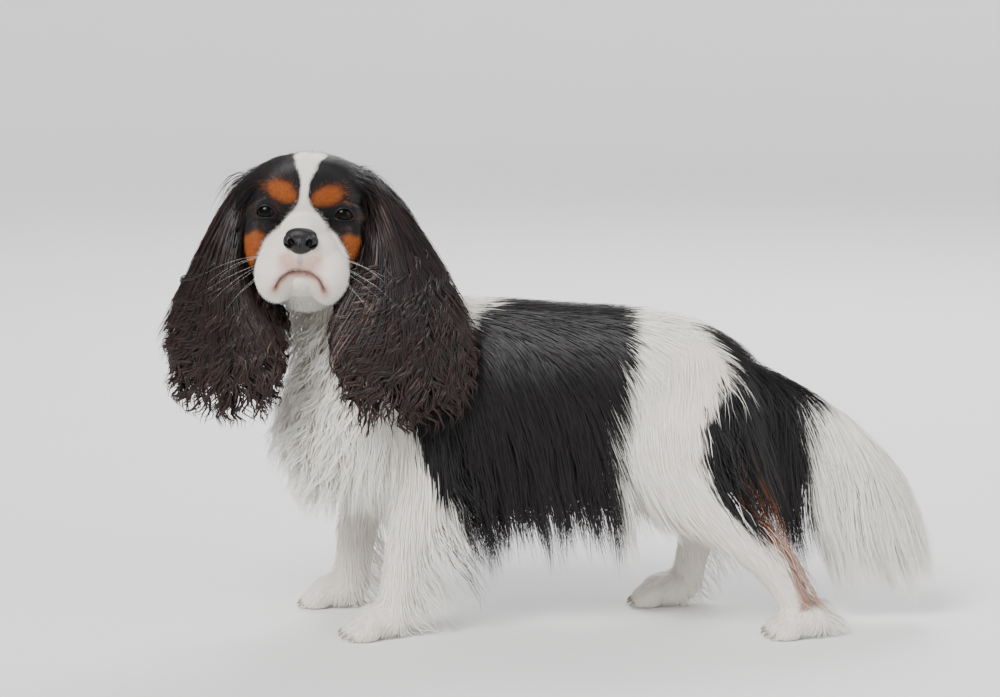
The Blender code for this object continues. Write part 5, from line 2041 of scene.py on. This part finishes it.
@dataclass
class Eye:
    """An eyeball with its two lids' rims."""

    side: float
    radius: float = EYE_RADIUS
    bulge: float = 0.0010
    bulge_reach: float = 0.55
    inner_half: Pair = (0.0086, 0.005)
    corner_drop: float = 0.0022
    lift: float = 0.0006
    rim_half: float = 0.0085
    rim_fold: float = 0.0035
    rim_depth: float = 0.0005

    @property
    def node(self) -> str:
        """The solids' name for this eye."""
        return "eye_left" if self.side > 0 else "eye_right"

    def seat(self, made: Piece) -> Piece:
        """Turns what was modelled about the eye's middle outwards and sets it in its place.

        Args:
            made: The object.

        Returns:
            The same object.
        """
        turn = Matrix.Rotation(math.radians(EYE_OUTWARDS) * self.side, 4, "Z")
        made.data.transform(Matrix.Translation(mirrored(EYE_CENTRE, self.side)) @ turn)
        return made

    def sag(self, x: float) -> float:
        """How much higher the almond between the lids lies at its middle than at its corners."""
        return self.lift - self.corner_drop * (x / LID_OPENING[0]) ** 2

    def opening(self) -> Piece:
        """The almond between the lids, as a bar that points out of the eye.

        Returns:
            The bar.
        """
        rows = [(0.0, -0.030, 0.0, *LID_OPENING), (0.0, 0.0, 0.0, *self.inner_half)]
        bar = tube("opening", np.array(rows), (1, 0, 0), 32)
        for vertex in bar.data.vertices:
            vertex.co.z += self.sag(vertex.co.x)
        return self.seat(bar)

    def ball(self) -> Piece:
        """The eyeball, with its clear front raised a little.

        Returns:
            The eyeball.
        """
        made = ball("eyeball_" + self.node[4:], (0, 0, 0), (self.radius,) * 3, fine=64)
        values = np.zeros((len(made.data.vertices), 4))
        for i, vertex in enumerate(made.data.vertices):
            x, y, z = vertex.co / self.radius
            off = math.acos(max(-1.0, min(1.0, -y))) / math.pi * 2
            raised = max(0.0, 1 - (off / self.bulge_reach) ** 2)
            vertex.co *= 1 + self.bulge / self.radius * raised
            ring = math.atan2(z, x)
            values[i] = (off, 0.5 + 0.5 * math.cos(ring * 9), 0.5 + 0.5 * math.sin(ring * 7), 1)
        store(made, "off_axis", values)
        self.seat(smooth(made))
        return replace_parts(settle(seat_on_head(made), EYE), self.node)

    def rim(self) -> Piece:
        """The dark rims of the upper and lower lids, with the inner corner drawn down.

        Returns:
            The rims.
        """
        pick()
        bpy.ops.mesh.primitive_torus_add(
            major_segments=64, minor_segments=10, major_radius=1.0, minor_radius=0.1
        )
        made = join("lids_" + self.node[4:], [active()])
        shell = self.radius + LID_THICKNESS - self.rim_depth
        for vertex in made.data.vertices:
            around = math.atan2(vertex.co.y, vertex.co.x)
            across, height = math.cos(around), math.sin(around)
            thick = self.rim_half + self.rim_fold * max(0.0, height)
            grow = (math.hypot(vertex.co.x, vertex.co.y) - 1) * thick
            x = (LID_OPENING[0] + 2 * grow) * across
            z = (LID_OPENING[1] + grow) * height + self.sag(x)
            deep = math.sqrt(max(shell**2 - x * x - z * z, 0.0)) + vertex.co.z * thick
            vertex.co = (x, -deep, z)
        return settle(seat_on_head(self.seat(smooth(made))), LID)

    def build(self) -> None:
        """Makes the eyeball and the rims of its lids."""
        self.ball()
        self.rim()


@dataclass
class Nose:
    """The nose leather, broad on top, with comma nostrils and the groove between them.

    Each form is its place from the nose's middle and its half sizes, and those that come in pairs
    are given on the dog's left.
    """

    voxel: float = 0.00055
    middle: Forms = (
        ((0.0, 0.001, 0.000), (0.0140, 0.0098, 0.0112)),
        ((0.0, 0.0010, 0.0040), (0.0146, 0.0098, 0.0080)),
        ((0.0, -0.0030, -0.0040), (0.0058, 0.0076, 0.0080)),
        ((0.0, -0.0015, -0.0068), (0.0098, 0.0078, 0.0060)),
    )
    wing: Form = ((0.0098, -0.0018, -0.0012), (0.0064, 0.0082, 0.0074))
    nostril: Form = ((0.0080, -0.0095, -0.0022), (0.0031, 0.0060, 0.0041))
    slit: Form = ((0.0118, -0.0072, -0.0050), (0.0042, 0.0046, 0.0011))
    crease: Form = ((0.0, -0.0118, -0.0060), (0.0005, 0.0022, 0.0080))
    nostril_turn: float = 0.5
    slit_turn: float = -0.45

    def build(self) -> Piece:
        """Models the nose.

        Returns:
            The nose.
        """
        centre = Vector(NOSE_CENTRE)
        pieces = [ball("form", centre + Vector(at), half, fine=32) for at, half in self.middle]
        for side in SIDES:
            pieces.append(ball("wing", centre + mirrored(self.wing[0], side), self.wing[1], fine=28))
        made = join("nose_leather", pieces)
        remesh(made, self.voxel, 5)
        for side in SIDES:
            for (at, half), lean in ((self.nostril, self.nostril_turn), (self.slit, self.slit_turn)):
                turn = Matrix.Rotation(lean * side, 3, "Y")
                combine(made, ball("hole", centre + mirrored(at, side), half, turn), "DIFFERENCE")
        at, half = self.crease
        combine(made, ball("crease", centre + Vector(at), half), "DIFFERENCE")
        modify(made, "SMOOTH", factor=0.5, iterations=2)
        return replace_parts(settle(seat_on_head(smooth(made)), NOSE), "nose")


@dataclass
class Lips:
    """The dark edge of the lips, in the line of the mouth."""

    radius: float = 0.0006
    taper: Outline = ((0.0, 0.9), (0.6, 1.1), (1.0, 0.3))

    def build(self, skin: Skin) -> None:
        """Lays a thin roll of leather in the line on each side.

        Args:
            skin: The skin, whose surface it follows.
        """
        inverse = HEAD_TURN.transposed()
        points = [inverse @ (Vector(p) - HEAD_ORIGIN) for p in skin.points.tolist()]
        tree = BVHTree.FromPolygons(points, skin.triangles.tolist())
        for side, name in zip(SIDES, ("lips_right", "lips_left")):
            rows = mouth_rows(tree, side, self.radius, 0.0)
            rows[:, 3:] *= np.interp(np.linspace(0, 1, len(rows)), *zip(*self.taper))[:, None]
            settle(seat_on_head(smooth(tube(name, rows, LEVEL, 10))), LIP)


@dataclass
class Whiskers:
    """Stiff white hairs in rows on both sides of the muzzle."""

    count: int = 8
    radius: float = 0.00007
    first: Triple = (0.026, -0.036, -0.040)
    apart: Triple = (0.004, 0.006, -0.006)
    lengths: Pair = (0.034, 0.062)
    backwards: Pair = (0.1, 0.5)
    downwards: Pair = (-1.3, -0.3)
    curve: float = 0.35
    steps: int = 8

    def build(self) -> None:
        """Bends one tapered hair out of each place."""
        draw = np.random.default_rng(5)
        for side, name in ((1.0, "whiskers_left"), (-1.0, "whiskers_right")):
            pieces = []
            for k in range(self.count):
                row, place = divmod(k, 3)
                step = Vector((place, place, row)) * Vector(self.apart)
                way = Vector((1.0, 0.25 - 0.2 * place, -0.05 - 0.28 * row)).normalized()
                length = float(draw.uniform(*self.lengths))
                bend = Vector((0.0, draw.uniform(*self.backwards), draw.uniform(*self.downwards)))
                rows = []
                for i in range(self.steps + 1):
                    t = i / self.steps
                    at = Vector(self.first) + step + way * length * t
                    at = at + bend * length * self.curve * t * t
                    thick = self.radius * (1 - 0.8 * t)
                    rows.append((at.x * side, at.y, at.z, thick, thick))
                pieces.append(tube("whisker", np.array(rows), (0, 0, 1), 5))
            settle(seat_on_head(smooth(join(name, pieces))), WHISKER)


@dataclass
class Claws:
    """A short curved claw at the end of each toe."""

    length: float = 0.0070
    height: float = -0.0102
    fall: float = 0.0034
    root: float = 0.0020
    tip: float = 0.000524
    flat: float = 1.25
    steps: int = 6

    def build(self) -> None:
        """Models a claw on every toe, and joins those of each paw."""
        for name, (x, y, degrees) in PAWS.items():
            turn = upright(degrees)
            centre = Vector((x, y, PAW_HALF[2] - SOLE_HEIGHT))
            pieces = []
            for k in TOES:
                ahead = toe_reach(k) + TOE_HALF[0] * 0.72
                rows = []
                for i in range(self.steps + 1):
                    t = i / self.steps
                    reach = ahead + self.length * (t - 0.12 * t * t)
                    low = self.height - self.fall * t * t
                    at = centre + turn @ Vector((-reach, k * TOE_SPREAD * 1.02, low))
                    thick = self.root + (self.tip - self.root) * t
                    rows.append((*at, thick, thick * self.flat))
                pieces.append(tube("claw", np.array(rows), (0, 1, 0), 10))
            settle(smooth(join("claws_" + name, pieces)), CLAW)


# The studio


@dataclass
class Studio:
    """A plain pale floor, soft lights and the camera at the photograph's angle.

    Each lamp is its name, place, the side of its square, its power in watts and its colour.
    """

    distance: float = 2.667
    elevation: float = 8.5
    lens: float = 100.0
    sensor: float = 36.0
    target: Triple = (0.0, 0.0, 0.268)
    floor_radius: float = 5.0
    sweep: Outline = ((5.8, 0.05), (6.5, 0.2), (7.1, 0.5), (7.5, 0.9), (7.8, 1.5), (8.0, 2.6))
    lamps: tuple[tuple[str, Triple, float, float, Triple], ...] = (
        ("key", (-1.4, -2.3, 2.8), 1.4, 60.0, (1.0, 0.98, 0.95)),
        ("fill", (2.6, -2.0, 1.6), 2.2, 45.0, (0.95, 0.98, 1.0)),
        ("back", (0.6, 2.4, 2.6), 1.8, 90.0, (1.0, 1.0, 1.0)),
    )
    lit: Triple = (0.0, 0.0, 0.25)
    sun_way: Triple = (1.3, 1.9, -2.4)
    sun_power: float = 2.6
    sun_spread: float = 28.0
    air: Colour = (0.86, 0.88, 0.90, 1)
    air_power: float = 0.75

    def floor(self) -> None:
        """A wide round floor that sweeps up at its edge."""
        pick()
        bpy.ops.mesh.primitive_circle_add(vertices=96, radius=self.floor_radius, fill_type="NGON")
        made = active()
        made.name = "floor"
        edit_all()
        bpy.ops.mesh.region_to_loop()
        reach, height = self.floor_radius, 0.0
        for wide, rise in self.sweep:
            bpy.ops.mesh.extrude_region_move()
            bpy.ops.transform.resize(value=(wide / reach, wide / reach, 1.0))
            bpy.ops.transform.translate(value=(0.0, 0.0, rise - height))
            reach, height = wide, rise
        bpy.ops.object.mode_set(mode="OBJECT")
        bpy.ops.object.shade_smooth()
        made.data.materials.append(FLOOR.material())

    def aim(self, name: str, data: bpy.types.ID, at: Vector, way: Vector) -> Piece:
        """Sets a light or the camera in its place.

        Args:
            name: Its name.
            data: The light or the camera.
            at: Its place.
            way: The way in which it looks.

        Returns:
            Its object.
        """
        made = link_new(name, data)
        made.location = at
        made.rotation_euler = way.to_track_quat("-Z", "Y").to_euler()
        return made

    def build(self) -> None:
        """Sets up the floor, the lights, the pale surroundings and the camera."""
        self.floor()
        for name, at, size, power, colour in self.lamps:
            data = bpy.data.lights.new(name, "AREA")
            data.size, data.energy, data.color = size, power, colour
            self.aim(name, data, Vector(at), Vector(self.lit) - Vector(at))
        sun = bpy.data.lights.new("sky", "SUN")
        sun.energy, sun.angle = self.sun_power, math.radians(self.sun_spread)
        self.aim("sky", sun, Vector(), Vector(self.sun_way))
        world = bpy.data.worlds.new("pale")
        world.use_nodes = True
        world.node_tree.nodes["Background"].inputs[0].default_value = self.air
        world.node_tree.nodes["Background"].inputs[1].default_value = self.air_power
        bpy.context.scene.world = world
        tilt = math.radians(self.elevation)
        back = Vector((0.0, -math.cos(tilt), math.sin(tilt)))
        data = bpy.data.cameras.new("camera")
        data.lens, data.sensor_width = self.lens, self.sensor
        data.clip_start, data.clip_end = 0.05, 60.0
        place = Vector(self.target) + row_shift() + back * self.distance
        bpy.context.scene.camera = self.aim("camera", data, place, -back)


def write_sizes() -> None:
    """Updates the view layer.
    """
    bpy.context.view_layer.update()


def main() -> None:
    """Builds the dog and its studio."""
    logging.basicConfig(level=logging.INFO, format="%(message)s")
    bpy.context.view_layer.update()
    Studio().build()
    skin = Skin()
    skin.build()
    for side in SIDES:
        Eye(side).build()
    Nose().build()
    Lips().build(skin)
    Whiskers().build()
    Claws().build()
    for coat in coats():
        coat.grow(skin)
    write_sizes()


if __name__ == "__main__":
    main()
